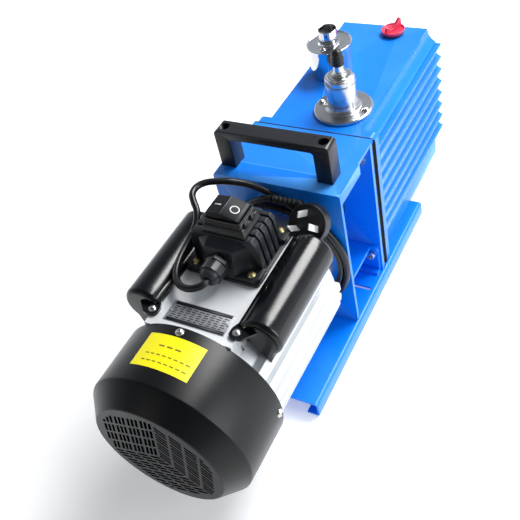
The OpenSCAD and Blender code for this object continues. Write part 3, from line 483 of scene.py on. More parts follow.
for nodes_, mat_, w_ in [
    (("base_channel", "bracket"), "blue", 0.5), (("oil_box",), "blue_cast", 0.5), (("box_gasket",), "gasket", 0.2),
    (("frame_bolts", "drain_plug", "port_screws", "pump_tie_bolts", "cover_screws", "motor_shaft", "motor_bearings", "inlet_tube"), "zinc", 0.25),
    (("terminal_box_screws",), "yzinc", 0.2), (("sight_glass_ring",), "brass", 0.4), (("sight_glass_lens",), "glass", 0.3),
    (("oil_filler_cap",), "red", 0.5), (("oil_cap_seal", "inlet_rubber_cap"), "rubber", 0.3), (("inlet_flange", "inlet_nut", "inlet_nozzle"), "steel", 0.3),
    (("exhaust_can",), "chrome", 0.3), (("exhaust_filter",), "gauze", 0.0),
    (("pump_front_plate", "hv_stator", "middle_plate", "lv_stator", "pump_rear_plate", "hv_rotor", "lv_rotor", "coupling_motor_half", "coupling_pump_half"), "iron", 0.3),
    (("shaft_seal",), "seal", 0.2), (("hv_vane_left", "hv_vane_right", "lv_vane_left", "lv_vane_right"), "vane", 0.3),
    (("vane_springs", "discharge_reed"), "spring", 0.05), (("coupling_spider",), "spider", 0.3),
    (("motor_frame",), "alu", 0.5), (("drive_end_shield", "fan_end_shield"), "alu_cast", 0.6),
    (("stator_core", "motor_rotor"), "core", 0.3), (("stator_windings",), "copper", 1.0),
    (("cooling_fan", "handle", "switch_housing", "switch_rocker", "cable_gland", "terminal_box"), "black", 0.4),
    (("fan_cowl",), "cowl", 0.4), (("capacitor_cover_left", "capacitor_cover_right"), "gloss_black", 0.5), (("capacitors",), "can", 0.8),
    (("nameplate",), "can", 0.1), (("power_cord",), "cord", 0), (("plug_body",), "plug", 0.3), (("plug_pins",), "chrome", 0.2)]:
    for n_ in nodes_:
        dress(n_, mat_, w_)

# ------------------------------------------------------------------ floor
bm = bmesh.new()
S = 6.0
grid = [[bm.verts.new((S * (i / 4 - 1), S * (j / 4 - 1), 0)) for j in range(9)] for i in range(9)]
for i in range(8):
    for j in range(8):
        bm.faces.new((grid[i][j], grid[i + 1][j], grid[i + 1][j + 1], grid[i][j + 1]))
floor = from_bm(bm, "floor")
fm = material("pale_floor", (0.9, 0.9, 0.9, 1), 0.9, bump=0.0, cvar=0.003, rvar=0.02)
fm.node_tree.nodes["Principled BSDF"].inputs["Emission Color"].default_value = (1, 1, 1, 1)
fm.node_tree.nodes["Principled BSDF"].inputs["Emission Strength"].default_value = 0.3
floor.data.materials.append(fm)

# ------------------------------------------------------------------ pieces
ZS = 113.9                                    # height of the shaft
TAU = 2 * math.pi


def sector_slots():
    """Air slots of the cowl as polygons in (x, z) round the shaft: three fields of slanted cells, three bars in each."""
    out = []
    pitch, rib, thin, R_ = 16.4, 2.6, 1.5, 60.2
    for s in range(3):
        t0 = math.radians(120 * s + 78)
        e1 = (math.cos(t0), math.sin(t0))
        e2 = (math.cos(t0 + TAU / 3), math.sin(t0 + TAU / 3))
        k_ = 1 / math.sin(TAU / 3)

        def at(a__, b__):
            return (a__ * e1[0] + b__ * e2[0], a__ * e1[1] + b__ * e2[1])
        for i in range(6):
            for j in range(6):
                band = (pitch - rib * k_ - 2 * thin * k_) / 3
                for m in range(3):
                    b0 = j * pitch + rib * k_ / 2 + m * (band + thin * k_)
                    b1 = b0 + band
                    a0, a1 = i * pitch + rib * k_ / 2, (i + 1) * pitch - rib * k_ / 2
                    while a1 - a0 > 3.2 and max(math.hypot(*at(a__, b__)) for a__ in (a0, a1) for b__ in (b0, b1)) > R_:
                        a1 -= 0.4
                    if a1 - a0 <= 3.2:
                        continue
                    quad = [at(a0, b0) + (0.45,), at(a1, b0) + (0.45,), at(a1, b1) + (0.45,), at(a0, b1) + (0.45,)]
                    out.append(rounded(quad, 2))
    return out


# fan cowl: turned shell, then its slots cut through the front wall
prof = rounded([(0.001, -313.5), (65.9, -313.5, 3.0), (83.1, -292.6, 3.5), (83.1, -228.9, 0.5), (81.3, -228.9, 0.5), (81.3, -292.0, 2.0), (65.0, -311.7, 1.5), (0.001, -311.7)], 7)
prof = [(r, h) for r, h in prof]
prof[0] = (0, -313.5)
prof[-1] = (0, -311.7)
cowl = lathe("cowl_shell", [(r, h) for r, h in prof], (0, 0, ZS), "y", 160)
bm = bmesh.new()
for q in sector_slots():
    A = [bm.verts.new(Vector((p[0], -315.5, ZS + p[1])) * MM) for p in q]
    B = [bm.verts.new(Vector((p[0], -309.5, ZS + p[1])) * MM) for p in q]
    bm.faces.new(A)
    bm.faces.new(B[::-1])
    for k in range(len(q)):
        j = (k + 1) % len(q)
        bm.faces.new((A[k], A[j], B[j], B[k]))
cut = from_bm(bm, "slot_cutter")
boolean(cowl, cut)
for a_ in range(4):
    hole = lathe("hole", [(0, 76), (2.3, 76), (2.3, 90), (0, 90)], (0, 0, 0), "z", 24)
    hole.data.transform(Matrix.Translation(Vector((0, -234.5, ZS)) * MM) @ Matrix.Rotation(a_ * math.pi / 2, 4, "Y"))
    boolean(cowl, hole)
shade(cowl, 38)
put(cowl, "frame", "cowl", "fan_cowl")

# yellow sticker, plain: two sheets of one curved label, with no lettering
bm = bmesh.new()


def curved_label(bm_, x0, x1, y0, y1, r, t, n=40, m=8):
    def pt(i, j, rr_):
        f = i / n
        g = j / m
        x = x0 + (x1 - x0) * f
        y = y0 + (y1 - y0) * g
        a__ = x / 83.2
        return Vector((rr_ * math.sin(a__), y, ZS + rr_ * math.cos(a__))) * MM
    top = [[bm_.verts.new(pt(i, j, r + t)) for j in range(m + 1)] for i in range(n + 1)]
    bot = [[bm_.verts.new(pt(i, j, r)) for j in range(m + 1)] for i in range(n + 1)]
    for i in range(n):
        for j in range(m):
            bm_.faces.new((top[i][j], top[i + 1][j], top[i + 1][j + 1], top[i][j + 1]))
            bm_.faces.new((bot[i][j], bot[i][j + 1], bot[i + 1][j + 1], bot[i + 1][j]))
    for i in range(n):
        bm_.faces.new((top[i][0], bot[i][0], bot[i + 1][0], top[i + 1][0]))
        bm_.faces.new((top[i][m], top[i + 1][m], bot[i + 1][m], bot[i][m]))
    for j in range(m):
        bm_.faces.new((top[0][j], top[0][j + 1], bot[0][j + 1], bot[0][j]))
        bm_.faces.new((top[n][j], bot[n][j], bot[n][j + 1], top[n][j + 1]))


curved_label(bm, -28.6, 31.4, -276.3, -240.2, 83.12, 0.14)
label = from_bm(bm, "plain_label")
shade(label, 40)
put(label, "frame", material("yellow_label", lin(250, 238, 0), 0.38, bump=0.1, scale=900, dist=0.00002, rvar=0.05, cvar=0.015))
bm = bmesh.new()
# generic marks: three short bars and two dashed rules
def mark(x0, x1, y0, y1):
    curved_label(bm, x0, x1, y0, y1, 83.262, 0.02, 6, 2)
for i in range(8):
    mark(-19.6 + i * 6.0, -15.6 + i * 6.0, -262.6, -261.4)
    mark(-19.6 + i * 6.0, -15.6 + i * 6.0, -270.0, -268.8)
for i in range(3):
    mark(-10.6 + i * 8.4, -4.6 + i * 8.4, -253.2, -251.6)
marks = from_bm(bm, "label_marks")
put(marks, "frame", material("label_print", lin(120, 112, 20), 0.5, bump=0.1, cvar=0.02))


# capacitor covers: a round-ended tube that runs down into a skirt on the motor
def cover(side, off=0.0):
    """Rings across the cover, from one end to the other, in mm, moved inwards by off."""
    r, cx_, cz = 21.5 - off, 62.3, 179.5
    y0, y1 = -209.0 + off, -91.0 - off
    low = 187.25 if not off else 183.0
    rings = []
    ends = [(5.0 * (1 - math.cos(math.pi / 2 * i / 8)), 5.0 * (1 - math.sin(math.pi / 2 * i / 8))) for i in range(9)]
    st = [(y0 + dy, ins, 0) for dy, ins in ends] + [(y0 + 14, 0, 0), ((y0 + y1) / 2, 0, 0), (y1 - 14, 0, 0)] + [(y1 - dy, ins, 1) for dy, ins in ends[::-1]]
    for y, ins, tail in st:
        rr_ = r - ins
        q = (low - cz) / rr_
        a0 = math.pi - math.asin(max(-1.0, min(1.0, q)))
        a1 = math.radians(-52)
        n = 48
        pts = [(cx_ + rr_ * math.cos(a0 + (a1 - a0) * k / n), cz + rr_ * math.sin(a0 + (a1 - a0) * k / n)) for k in range(n + 1)]
        last = pts[-1]
        base_b = math.atan2(150.5 - ZS, 68.5)
        gap = 77.62 if not off else 70.0
        pts.append((gap * math.cos(base_b) + (0.6 if not off else 0), ZS + gap * math.sin(base_b)))
        b1 = math.acos((46.45 if not off else 40.0) / gap)
        for k in range(1, 13):
            t_ = base_b + (b1 - base_b) * k / 12
            pts.append((gap * math.cos(t_), ZS + gap * math.sin(t_)))
        pts.append((46.45 if not off else 44.0, low - 0.2 if not off else low - 1))
        rings.append([(side * p[0], y, p[1]) for p in pts])
    return rings


def outward(o):
    """Faces turned outwards."""
    b__ = bmesh.new()
    b__.from_mesh(o.data)
    bmesh.ops.recalc_face_normals(b__, faces=b__.faces)
    b__.to_mesh(o.data)
    b__.free()
    return o


def cover_obj(side, name):
    o = outward(loft("cover_tube", cover(side)))
    skirt = [(41.8, 187.2), (41.8, 190.4), (43.0, 192.5), (60.0, 196.0), (60.0, 187.2)]
    o2 = outward(loft("cover_skirt", [[(side * x, y, z) for x, z in skirt] for y in (-206.5, -93.5)]))
    boolean(o, o2, "UNION")
    ear = prism("cover_ear", rounded([(38.3, -220.8, 6.2), (51.0, -220.8, 5.5), (62.0, -209.5, 3.0), (64.0, -203.0, 1), (41.8, -203.0, 1.0), (38.3, -210.5, 5)], 7), 187.25, 190.0, "xy")
    if side < 0:
        ear.data.transform(Matrix.Scale(-1, 4, Vector((1, 0, 0))))
    boolean(o, outward(ear), "UNION")
    boolean(o, outward(loft("cover_hollow", cover(side, 1.9))))
    boolean(o, lathe("h", [(0, 180), (2.1, 180), (2.1, 200), (0, 200)], (side * 45, -214, 0), "z", 28))
    o.name = name
    shade(o, 40)
    bevel(o, 0.7, 3, 42)
    return o


for s_, nm in ((1, "capacitor_cover_right"), (-1, "capacitor_cover_left")):
    o = cover_obj(s_, nm + "_shell")
    put(o, "frame", "gloss_black", nm)

# handle: one bent bar with soft edges, deep screw wells in its ends
hx0, hx1, hz0, hz1 = -68.5, 59.5, 207.4, 252.4
arch = rounded([(hx0, hz0, 0.8), (hx0, hz1, 4.5), (hx1, hz1, 4.5), (hx1, hz0, 0.8), (hx1 - 17.5, hz0, 0.8), (hx1 - 17.5, hz1 - 9, 3.5), (hx0 + 17.5, hz1 - 9, 3.5), (hx0 + 17.5, hz0, 0.8)], 8)
hd = prism("handle_bar", arch, -29.55, -10.05, "xz")
bevel(hd, 1.5, 4, 50)
boolean(hd, rbox("none", (400, 400, 400), (401, 401, 401), 0))
for sx in (-4.5 - 55.25, -4.5 + 55.25):
    boolean(hd, lathe("w1", [(0, 219.4), (5.4, 219.4), (5.4, 260), (0, 260)], (sx, -19.8, 0), "z", 48))
    boolean(hd, lathe("w2", [(0, 200), (3.3, 200), (3.3, 222), (0, 222)], (sx, -19.8, 0), "z", 32))
boolean(hd, rbox("w3", (38.9, -24.8, 251.6), (39.8, -14.2, 256), 0))
shade(hd, 30)
put(hd, "frame", "handle", "handle")
bm = bmesh.new()

# terminal box
TX, TY = -1.5, -121.8


def level(z, ax, ly, xs, ls):
    return [(TX + x, TY + y, z) for x, y in [(-ax, -ly), (ax, -ly), (xs, -ls), (xs, ls), (ax, ly), (-ax, ly), (-xs, ls), (-xs, -ls)]]


core = loft("tb_core", [level(187, 17.2, 38.1, 36, 19.4), level(220, 14.7, 31.1, 33, 15.7), level(227, 13.5, 21.7, 29.5, 6)])
bevel(core, 1.1, 3, 12, False)
core = boolean(core, rbox("none", (400, 400, 400), (401, 401, 401), 0))


def saddle(y0, y1, d):
    pts = [(-37.5 + d, 187.2), (37.5 - d, 187.2), (34.5 - d, 223.5 - d * 0.4), (31.5 - d * 0.4, 228 - d), (-31.5 + d * 0.4, 228 - d), (-34.5 + d, 223.5 - d * 0.4)]
    pts = [(TX + p[0], p[1], 1.0 if i > 1 else 0) for i, p in enumerate(pts)]
    return prism("sad", rounded(pts, 4), y0, y1, "xz")


parts = [core]
edges_y = [TY - 21.4] + [g + d for g in (-134.1, -125.0, -115.9, -106.8) for d in (-1.05, 1.05)] + [TY + 21.4]
for i in range(0, 10, 2):
    b_ = saddle(edges_y[i], edges_y[i + 1], 0)
    bevel(b_, 0.7, 3, 40, False)
    b_ = boolean(b_, rbox("none", (400, 400, 400), (401, 401, 401), 0))
    parts.append(b_)
parts.append(saddle(edges_y[0] + 1.5, edges_y[-1] - 1.5, 2.0))
fl = prism("tb_flange", rounded([(TX - 40, TY - 38, 4), (TX + 40, TY - 38, 4), (TX + 40, TY + 38, 4), (TX - 40, TY + 38, 4)], 4), 187.02, 190.5, "xy")
bevel(fl, 0.5, 2, 40, False)
parts.append(boolean(fl, rbox("none", (400, 400, 400), (401, 401, 401), 0)))
for i in (1, -1):
    for j in (1, -1):
        e_ = [(14, -37.1, 0.5), (36, -37.1, 1.5), (40, -33.1, 1.5), (40, -19.2, 0.5), (33, -19.2, 0.5)]
        e_ = [(TX + i * p[0], TY + j * p[1], p[2]) for p in e_]
        ob = prism("tb_ear", rounded(e_, 4), 187.03, 195, "xy")
        bevel(ob, 0.6, 3, 40, False)
        ob = boolean(ob, rbox("none", (400, 400, 400), (401, 401, 401), 0))
        parts.append(ob)
tb = join("terminal_box_lid", parts)
shade(tb, 40)
put(tb, "frame", "box_black", "terminal_box")

# switch housing with its frame and snap tabs
h1 = prism("sw_body", rounded([(-19.9, -139.6, 2.5), (20.5, -139.6, 2.5), (20.5, -110.4, 2.5), (-19.9, -110.4, 2.5)], 5), 228, 241.2, "xy")
bevel(h1, 0.8, 3, 40)
h1 = boolean(h1, rbox("none", (400, 400, 400), (401, 401, 401), 0))
boolean(h1, rbox("sw_well", (-18.3, -137.9, 231), (18.9, -112.1, 260), 0))
h2 = prism("sw_frame", rounded([(-19.5, -139.3, 2.5), (20.0, -139.3, 2.5), (20.0, -110.7, 2.5), (-19.5, -110.7, 2.5)], 5), 238, 243.8, "xy")
boolean(h2, rbox("sw_well", (-18.3, -137.9, 231), (18.9, -112.1, 260), 0))
bevel(h2, 0.5, 3, 40)
h2 = boolean(h2, rbox("none", (400, 400, 400), (401, 401, 401), 0))
foot = loft("sw_foot", [[(-22, -142.3, 228.02), (24.3, -142.3, 228.02), (24.3, -109.6, 228.02), (-22, -109.6, 228.02)],
                        [(-21.6, -142.0, 231.5), (23.9, -142.0, 231.5), (23.9, -110, 231.5), (-21.6, -110, 231.5)],
                        [(-20.1, -140.0, 236.5), (21.4, -140.0, 236.5), (21.4, -110.4, 236.5), (-20.1, -110.4, 236.5)]])
bevel(foot, 0.9, 3, 20, False)
foot = boolean(foot, rbox("none", (400, 400, 400), (401, 401, 401), 0))
tabs = [rbox("tab", (19.8, y_ - 3.1, 233), (22.6, y_ + 3.1, 241.0), 0.5, 3) for y_ in (-119.5, -131.5)]
sw = join("switch_body", [h1, h2, foot] + tabs)
shade(sw, 40)
put(sw, "frame", "black", "switch_housing")

rk = prism("rocker_body", rounded([(-15.9, 249.4, 0.8), (0.3, 251.2, 0.3), (18.1, 245, 1.0), (17.9, 240.5, 0.6), (9, 235, 1), (-8, 235, 1), (-15.6, 241, 0.6)], 5), -137.4, -112.6, "xz")
bevel(rk, 0.45, 3, 40)
rk = boolean(rk, rbox("none", (400, 400, 400), (401, 401, 401), 0))
shade(rk, 30)


def on_rocker(x, y):
    """Height of the rocker's top face in mm."""
    if x < 0.3:
        z = 249.4 + (x + 15.9) * (251.2 - 249.4) / 16.2
    else:
        z = 251.2 + (x - 0.3) * (245 - 251.2) / 17.8
    return z


def strip(name, x0, x1, y0, y1, t=0.12):
    return loft(name, [[(x0, y, on_rocker(x0, y) - 0.1), (x1, y, on_rocker(x1, y) - 0.1), (x1, y, on_rocker(x1, y) + t), (x0, y, on_rocker(x0, y) + t)] for y in (y0, y1)])


put(rk, "rocker", material("rocker_moulding", lin(12, 13, 16), 0.5, spec=0.22, bump=0.3, scale=1500, dist=0.00003, rvar=0.05, cvar=0.12), "switch_rocker")
ring = []
nn = 56
for k in range(nn):
    a_ = TAU * k / nn
    ring.append([(9.1 + rr_ * math.cos(a_), -126.0 + rr_ * 1.04 * math.sin(a_)) for rr_ in (3.35, 4.45)])
bm = bmesh.new()
V = [[bm.verts.new(Vector((p[0], p[1], on_rocker(p[0], p[1]) + dz)) * MM) for p in pr_ for dz in (-0.1, 0.1)] for pr_ in ring]
for k in range(nn):
    A, B = V[k], V[(k + 1) % nn]
    for i, j in ((0, 1), (1, 3), (3, 2), (2, 0)):
        bm.faces.new((A[i], A[j], B[j], B[i]))
o_mark = from_bm(bm, "mark_o")
o_mark = join("rocker_marks", [o_mark, strip("mark_i", -12.0, -5.2, -125.7, -124.6)])
put(o_mark, "rocker", "white_mark")
# painted highlights: three thin light-grey strips, one along the rocker's ridge and two near its right edge, stand in
# for light catching those edges
ridge_highlights = join("rocker_ridge_highlights", [strip("l", -0.5, 0.05, -137.0, -113.0, 0.14), strip("l", 15.3, 15.6, -137.0, -113.0, 0.05), strip("l", 16.3, 16.65, -137.0, -113.0, 0.08)])
put(ridge_highlights, "rocker", material("rocker_edge_highlight", lin(120, 126, 138), 0.4, bump=0.1, cvar=0.02))

# cable gland
gp = []
hexa = prism("gl_hex", [(-2 + 12.4 * math.cos(math.radians(30 + 60 * k)), 205 + 12.4 * math.sin(math.radians(30 + 60 * k))) for k in range(6)], -161, -156.02, "xz")
bevel(hexa, 0.5, 3, 30)
hexa = boolean(hexa, rbox("none", (400, 400, 400), (401, 401, 401), 0))
neck = lathe("gl_neck", rounded([(0, -165), (8.9, -165), (8.9, -148), (0, -148)], 1), (-2, 0, 205), "y", 48)
nutp = []
for k in range(11):
    a_ = TAU * (k + 0.25) / 11
    nutp += [(-2 + 11.6 * math.cos(a_ - 0.05), 205 + 11.6 * math.sin(a_ - 0.05)), (-2 + 11.6 * math.cos(a_ + 0.05), 205 + 11.6 * math.sin(a_ + 0.05))]
nut = prism("gl_nut", nutp, -172.4, -161.8, "xz")
bevel(nut, 0.3, 2, 24)
nut = boolean(nut, rbox("none", (400, 400, 400), (401, 401, 401), 0))
dome = lathe("gl_dome", rounded([(3.52, -172.0), (3.52, -179.0, 0.4), (6.3, -179.0, 1.6), (8.7, -176.6, 3), (10.2, -172.0), (10.2, -171.0), (3.52, -171.0)], 6), (-2, 0, 205), "y", 64, True)
shade(dome, 60)
gl = join("cable_gland_body", [hexa, neck, nut, dome])
shade(gl, 20)
put(gl, "frame", material("gland_moulding", lin(36, 38, 42), 0.36, bump=0.3, scale=1300, dist=0.00003, rvar=0.06, cvar=0.1), "cable_gland")

# power cord: smooth round sheath through the same points as the CAD cord
route_a = [[-2, -178, 205], [-3.5, -184.5, 204.5], [-9.5, -189.5, 203.5], [-18, -191, 202], [-27, -188.5, 201],
           [-35, -182, 200.5], [-41, -172, 200.5], [-45, -159, 201], [-47, -145, 202], [-47.5, -131, 205], [-48, -118, 210],
           [-52, -107.5, 215.5], [-59, -100, 219], [-65, -92, 221], [-65.5, -82, 222], [-59.5, -73.5, 222],
           [-49, -67, 220.5], [-37, -61, 217.5], [-25, -54.5, 212], [-13, -50, 204.5], [0, -48.5, 196.5], [14, -48.5, 188], [27, -48.5, 180.5]]
route_b = [[-52.5, -55.5, 153.5], [-44, -57, 167], [-33, -58, 180], [-20.5, -58.5, 191.5], [-7, -59, 199.5], [6, -59.5, 203.5]]
coil = []
a_ = 32.0
while a_ <= 640.01:
    r_ = 71 if a_ < 300 else 64 if a_ > 390 else 71 - 7 * (a_ - 300) / 90
    y_ = -48.5 if a_ < 600 else -48.5 - 5 * (a_ - 600) / 40
    coil.append([r_ * math.sin(math.radians(a_)), y_, ZS + r_ * math.cos(math.radians(a_))])
    a_ += 15.2
pts = np.array(route_a + coil + route_b, float)


def catmull(P_, n=6):
    out = []
    Q_ = np.vstack([2 * P_[0] - P_[1], P_, 2 * P_[-1] - P_[-2]])
    for i in range(1, len(Q_) - 2):
        p0, p1, p2, p3 = Q_[i - 1], Q_[i], Q_[i + 1], Q_[i + 2]
        for k in range(n):
            t = k / n
            out.append(0.5 * ((2 * p1) + (-p0 + p2) * t + (2 * p0 - 5 * p1 + 4 * p2 - p3) * t * t + (-p0 + 3 * p1 - 3 * p2 + p3) * t ** 3))
    out.append(P_[-1])
    return np.array(out)


smooth = catmull(pts)
cu = bpy.data.curves.new("power_cord_sheath", "CURVE")
cu.dimensions = "3D"
sp = cu.splines.new("POLY")
sp.points.add(len(smooth) - 1)
for p, q in zip(sp.points, smooth):
    p.co = (q[0] * MM, q[1] * MM, q[2] * MM, 1)
cu.bevel_depth = 3.5 * MM
cu.bevel_resolution = 6
cu.use_fill_caps = True
sp.use_smooth = True
cord = bpy.data.objects.new("power_cord_sheath", cu)
scene.collection.objects.link(cord)
cu.materials.append(M["cord"])
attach(cord, "frame")
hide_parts("power_cord")

# plug
PC = Vector((48, -73.2, 192.3))
PM = Matrix.Translation(PC * MM) @ Matrix.Rotation(math.radians(53.13), 4, "X")
body = lathe("plug_disc", rounded([(0, -19.5), (15.5, -19.5, 2.0), (19.0, -15.6, 2.0), (20.0, -12.5, 1.0), (20.0, 0, 1.3), (18.3, 0, 0.1), (18.3, -0.55, 0.1), (16.6, -0.55, 0.3), (16.4, -0.1, 0.3), (0, -0.1)], 6), (0, 0, 0), "z", 112)
body.data.transform(PM)
sr = []
for (q0, q1, n_) in (((-13.5, 12, -13.0), (-17, 15, -13.5), 2),):
    pass
# ribbed strain relief from the disc to the cord
w0 = PM @ (Vector((-13.0, 11.5, -13.0)) * MM)
w1 = PM @ (Vector((-17, 15, -13.5)) * MM)
w2 = Vector((6.0, -59.5, 203.5)) * MM
path = [w0.lerp(w1, t) for t in np.linspace(0, 1, 4)][:-1] + [w1.lerp(w2, t) for t in np.linspace(0, 1, 25)]
rad = []
for i in range(len(path)):
    if i < 6:
        rad.append(5.4)
    else:
        base_r = 5.3 - 1.0 * (i - 6) / (len(path) - 7)
        rad.append(base_r if (i % 4) in (0, 1) else base_r - 0.85)
rad[-1] = 3.9
bm = bmesh.new()
prev = None
ringsv = []
up_ = Vector((0, 0, 1))
for i, p in enumerate(path):
    t = (path[min(i + 1, len(path) - 1)] - path[max(i - 1, 0)]).normalized()
    a_v = (up_ - t * up_.dot(t)).normalized()
    b_v = t.cross(a_v)
    ringsv.append([bm.verts.new(p + (a_v * math.cos(TAU * k / 28) + b_v * math.sin(TAU * k / 28)) * rad[i] * MM) for k in range(28)])
for A, B in zip(ringsv, ringsv[1:]):
    for k in range(28):
        bm.faces.new((A[k], A[(k + 1) % 28], B[(k + 1) % 28], B[k]))
bm.faces.new(ringsv[0])
bm.faces.new(ringsv[-1][::-1])
relief = from_bm(bm, "plug_relief")
plug = join("plug_shell", [body, relief])
shade(plug, 40)
put(plug, "frame", "plug", "plug_body")
pins = []
for c_, rot_, ln in (((-1.4, 10.7, 7), (0, 0, 0), 26), ((12, -3.2, 0), (-15, -12, 8), 21), ((-9, -6, 0), (-7.5, -1.7, 51), 22)):
    zc_ = {26: 0, 21: 4.5, 22: 5}[ln]
    b_ = rbox("pin", (-0.8, -3.2, zc_ - ln / 2), (0.8, 3.2, zc_ + ln / 2), 0.35, 3)
    rm = Matrix.Rotation(math.radians(rot_[2]), 4, "Z") @ Matrix.Rotation(math.radians(rot_[1]), 4, "Y") @ Matrix.Rotation(math.radians(rot_[0]), 4, "X")
    b_.data.transform(PM @ Matrix.Translation(Vector(c_) * MM) @ rm)
    pins.append(b_)
pn = join("plug_pin_blades", pins)
shade(pn, 40)
put(pn, "frame", material("nickel_pins", (0.85, 0.86, 0.87, 1), 0.3, metal=0.6, bump=0.1, rvar=0.05), "plug_pins")

# inlet: flange, wrench nut, nozzle and rubber cap
IX, IY, BT = 18.5, 93.5, 205.7
fl = lathe("inlet_flange_turned", rounded([(8.02, 0), (32.2, 0, 0.4), (32.5, 3.4, 0.8), (31.0, 4.3, 0.5), (19.6, 4.3, 2.2), (16.9, 7.6, 2.6), (16.3, 11, 3), (16.3, 35, 0.3), (8.02, 35, 0.3)], 6), (IX, IY, BT), "z", 144, True)
for a_ in (-4, 176):
    boolean(fl, lathe("h", [(0, -1), (2.2, -1), (2.2, 8), (0, 8)], (IX + 27 * math.cos(math.radians(a_)), IY + 27 * math.sin(math.radians(a_)), BT), "z", 24))
shade(fl, 28)
put(fl, "frame", "steel", "inlet_flange")
nt = lathe("inlet_nut_turned", rounded([(8.12, 35.02), (16.6, 35.02, 0.5), (16.8, 36.3, 0.5), (16.2, 36.9, 0.3), (16.2, 42.0, 0.9), (13.6, 42.6, 0.3), (13.0, 44.3, 0.6), (8.12, 44.3, 0.3)], 5), (IX, IY, BT), "z", 128, True)
for s_ in (0, 180):
    c_ = rbox("flat", (14.4, -20, 36.7), (25, 20, 60), 0)
    c_.data.transform(Matrix.Translation(Vector((IX, IY, BT)) * MM) @ Matrix.Rotation(math.radians(52 + s_), 4, "Z"))
    boolean(nt, c_)
shade(nt, 28)
bevel(nt, 0.25, 2, 40)
put(nt, "frame", "steel", "inlet_nut")
nz = lathe("inlet_nozzle_turned", rounded([(3.6, 29), (8, 29), (8, 44.6, 0.4), (8.5, 45.4, 0.5), (7.1, 46.2, 0.4), (6.2, 47.6, 1.2), (5.5, 50, 1.5), (5.5, 65.5, 0.8), (3.6, 65.5, 0.5)], 5), (IX, IY, BT), "z", 96, True)
shade(nz, 28)
put(nz, "frame", "steel", "inlet_nozzle")
cp = lathe("inlet_cap_moulded", rounded([(0, 65.6), (5.56, 65.6), (5.56, 56.2, 0.5), (6.5, 56.2, 0.6), (6.9, 58.0, 0.6), (6.35, 59.0, 0.5), (7.0, 60.2, 0.7), (6.55, 61.4, 0.5), (7.0, 62.6, 0.7), (6.5, 63.8, 0.5), (6.8, 65.2, 0.8), (6.1, 67.0, 0.6), (5.9, 69.2, 1.0), (4.9, 72.2, 2.4), (2.0, 74.1, 2.0), (0, 74.2)], 5), (IX, IY, BT), "z", 72)
shade(cp, 40)
put(cp, "nozzle_cap", "rubber", "inlet_rubber_cap")

# exhaust can with its rolled rim, neck and gauze
EX, EY = -24.0, 161.5
can = lathe("exhaust_can_spun", rounded([(9.02, 0), (23.2, 0, 0.6), (23.8, 2.5, 2), (25.5, 33, 6), (25.9, 36.5, 2), (26.1, 38.1, 0.5), (25.5, 38.6, 0.35), (24.9, 38.2, 0.3), (24.5, 37.2, 0.5), (12.4, 37.2, 1.6), (neck_ := 10.8, 39.2, 1.0), (10.8, 54.8, 0.5), (10.25, 55.3, 0.3), (9.7, 54.8, 0.3), (9.7, 35.2, 0.4), (22.4, 35.6, 1), (21.6, 1.4, 0.6), (9.02, 1.4)], 6), (EX, EY, BT), "z", 144, True)
boolean(can, lathe("h", [(0, 30), (1.62, 30), (1.62, 45), (0, 45)], (EX - 0.8, EY - 14.8, BT), "z", 24))
shade(can, 26)
put(can, "frame", "chrome", "exhaust_can")
cup = lathe("neck_gauze", rounded([(0, 47.3), (6, 47.4), (9.66, 48.0), (9.66, 46.2), (0, 46.0)], 1), (EX, EY, BT), "z", 72)
shade(cup, 30)
filt = lathe("exhaust_packing", [(8, 1.5), (20, 1.5), (20, 31.5), (8, 31.5)], (EX, EY, BT), "z", 72, True)
gz = join("exhaust_gauze", [cup, filt])
shade(gz, 30)
put(gz, "frame", "gauze", "exhaust_filter")

# red filler cap
FX, FY = 17.0, 252.0
cap = lathe("cap_dish", rounded([(0, -7.6), (9.2, -7.6, 0.5), (9.4, 1.55, 0.1), (12.8, 1.6, 1.0), (14.0, 4.2, 1.5), (14.2, 6.0, 0.5), (13.5, 6.6, 0.5), (12.8, 6.0, 0.5), (12.2, 4.6, 0.8), (7, 4.3, 1), (0, 4.2)], 6), (FX, FY, BT), "z", 96)
web = [(-12.2, 3.5, 0), (12.6, 3.5, 0), (13.0, 6, 1), (12.0, 15.6, 1.5), (9.6, 16.6, 1.3), (4.0, 11.4, 2), (-1, 8.0, 3), (-5.4, 7.0, 1.5), (-7.0, 11.0, 1.6), (-10.4, 11.2, 1.6), (-12.3, 6.4, 1)]
wb_ = prism("cap_web", rounded(web, 6), -1.9, 1.9, "xz")
bevel(wb_, 0.9, 4, 40, False)
wb_ = boolean(wb_, rbox("none", (400, 400, 400), (401, 401, 401), 0))
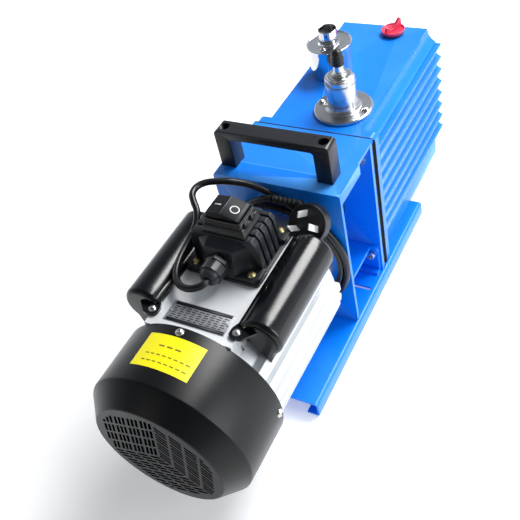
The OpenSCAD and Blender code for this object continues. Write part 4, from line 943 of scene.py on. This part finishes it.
wb_.data.transform(Matrix.Translation(Vector((FX, FY, BT)) * MM) @ Matrix.Rotation(math.radians(63), 4, "Z"))
rcap = join("filler_cap_moulded", [cap, wb_])
shade(rcap, 35)
put(rcap, "filler_cap", "red", "oil_filler_cap")

# nameplate: sheet, two dark bands, rows of small dashes and its rivets
npl = rbox("np_sheet", (-31, -220, 187.02), (34, -196, 187.5), 0.15, 2)
rv = [lathe("np_rivet", rounded([(0, 187.45), (1.5, 187.45), (1.45, 187.9, 0.3), (0.9, 188.3, 0.4), (0, 188.35)], 4), (x_, -208, 0), "z", 28) for x_ in (-29.0, 32.0)]
npl = join("nameplate_sheet", [npl] + rv)
shade(npl, 35)
put(npl, "frame", material("printed_aluminium", (0.42, 0.43, 0.45, 1), 0.35, metal=0.7, bump=0.2, scale=600, cvar=0.05, stretch=(1, 14, 1)), "nameplate")
bars = [rbox("np_bar", (-28.5, -200.3, 187.49), (32.0, -196.7, 187.53), 0), rbox("np_bar", (-28.5, -219.6, 187.49), (33.0, -215.9, 187.53), 0)]
for r_ in range(6):
    for c_ in range(9):
        x_ = -27.0 + c_ * 6.5 + (r_ % 2) * 0.8
        bars.append(rbox("np_dash", (x_, -215.0 + r_ * 2.45, 187.495), (x_ + 3.4 + ((r_ * 3 + c_ * 5) % 4) * 0.5, -214.0 + r_ * 2.45, 187.52), 0))
nb = join("nameplate_bands", bars)
put(nb, "frame", material("plate_print", lin(26, 27, 30), 0.45, bump=0.1, cvar=0.05))

# box gasket, its edge standing a little proud between the two flanges
gk = prism("box_gasket_sheet", rounded([(-72.6, 21.1, 6), (72.6, 21.1, 6), (72.6, 207.75, 5), (-72.6, 207.75, 5)], 8), 48.12, 49.58, "xz")
boolean(gk, rbox("gk_hole", (-50, 40, 27), (50, 60, 196), 0))
for x_ in (-60, 60):
    for z_ in (48, 188):
        boolean(gk, lathe("gk_screw", [(0, 40), (3.3, 40), (3.3, 60), (0, 60)], (x_, 0, z_), "y", 28))
shade(gk, 30)
bevel(gk, 0.3, 2, 50)
put(gk, "frame", "gasket", "box_gasket")
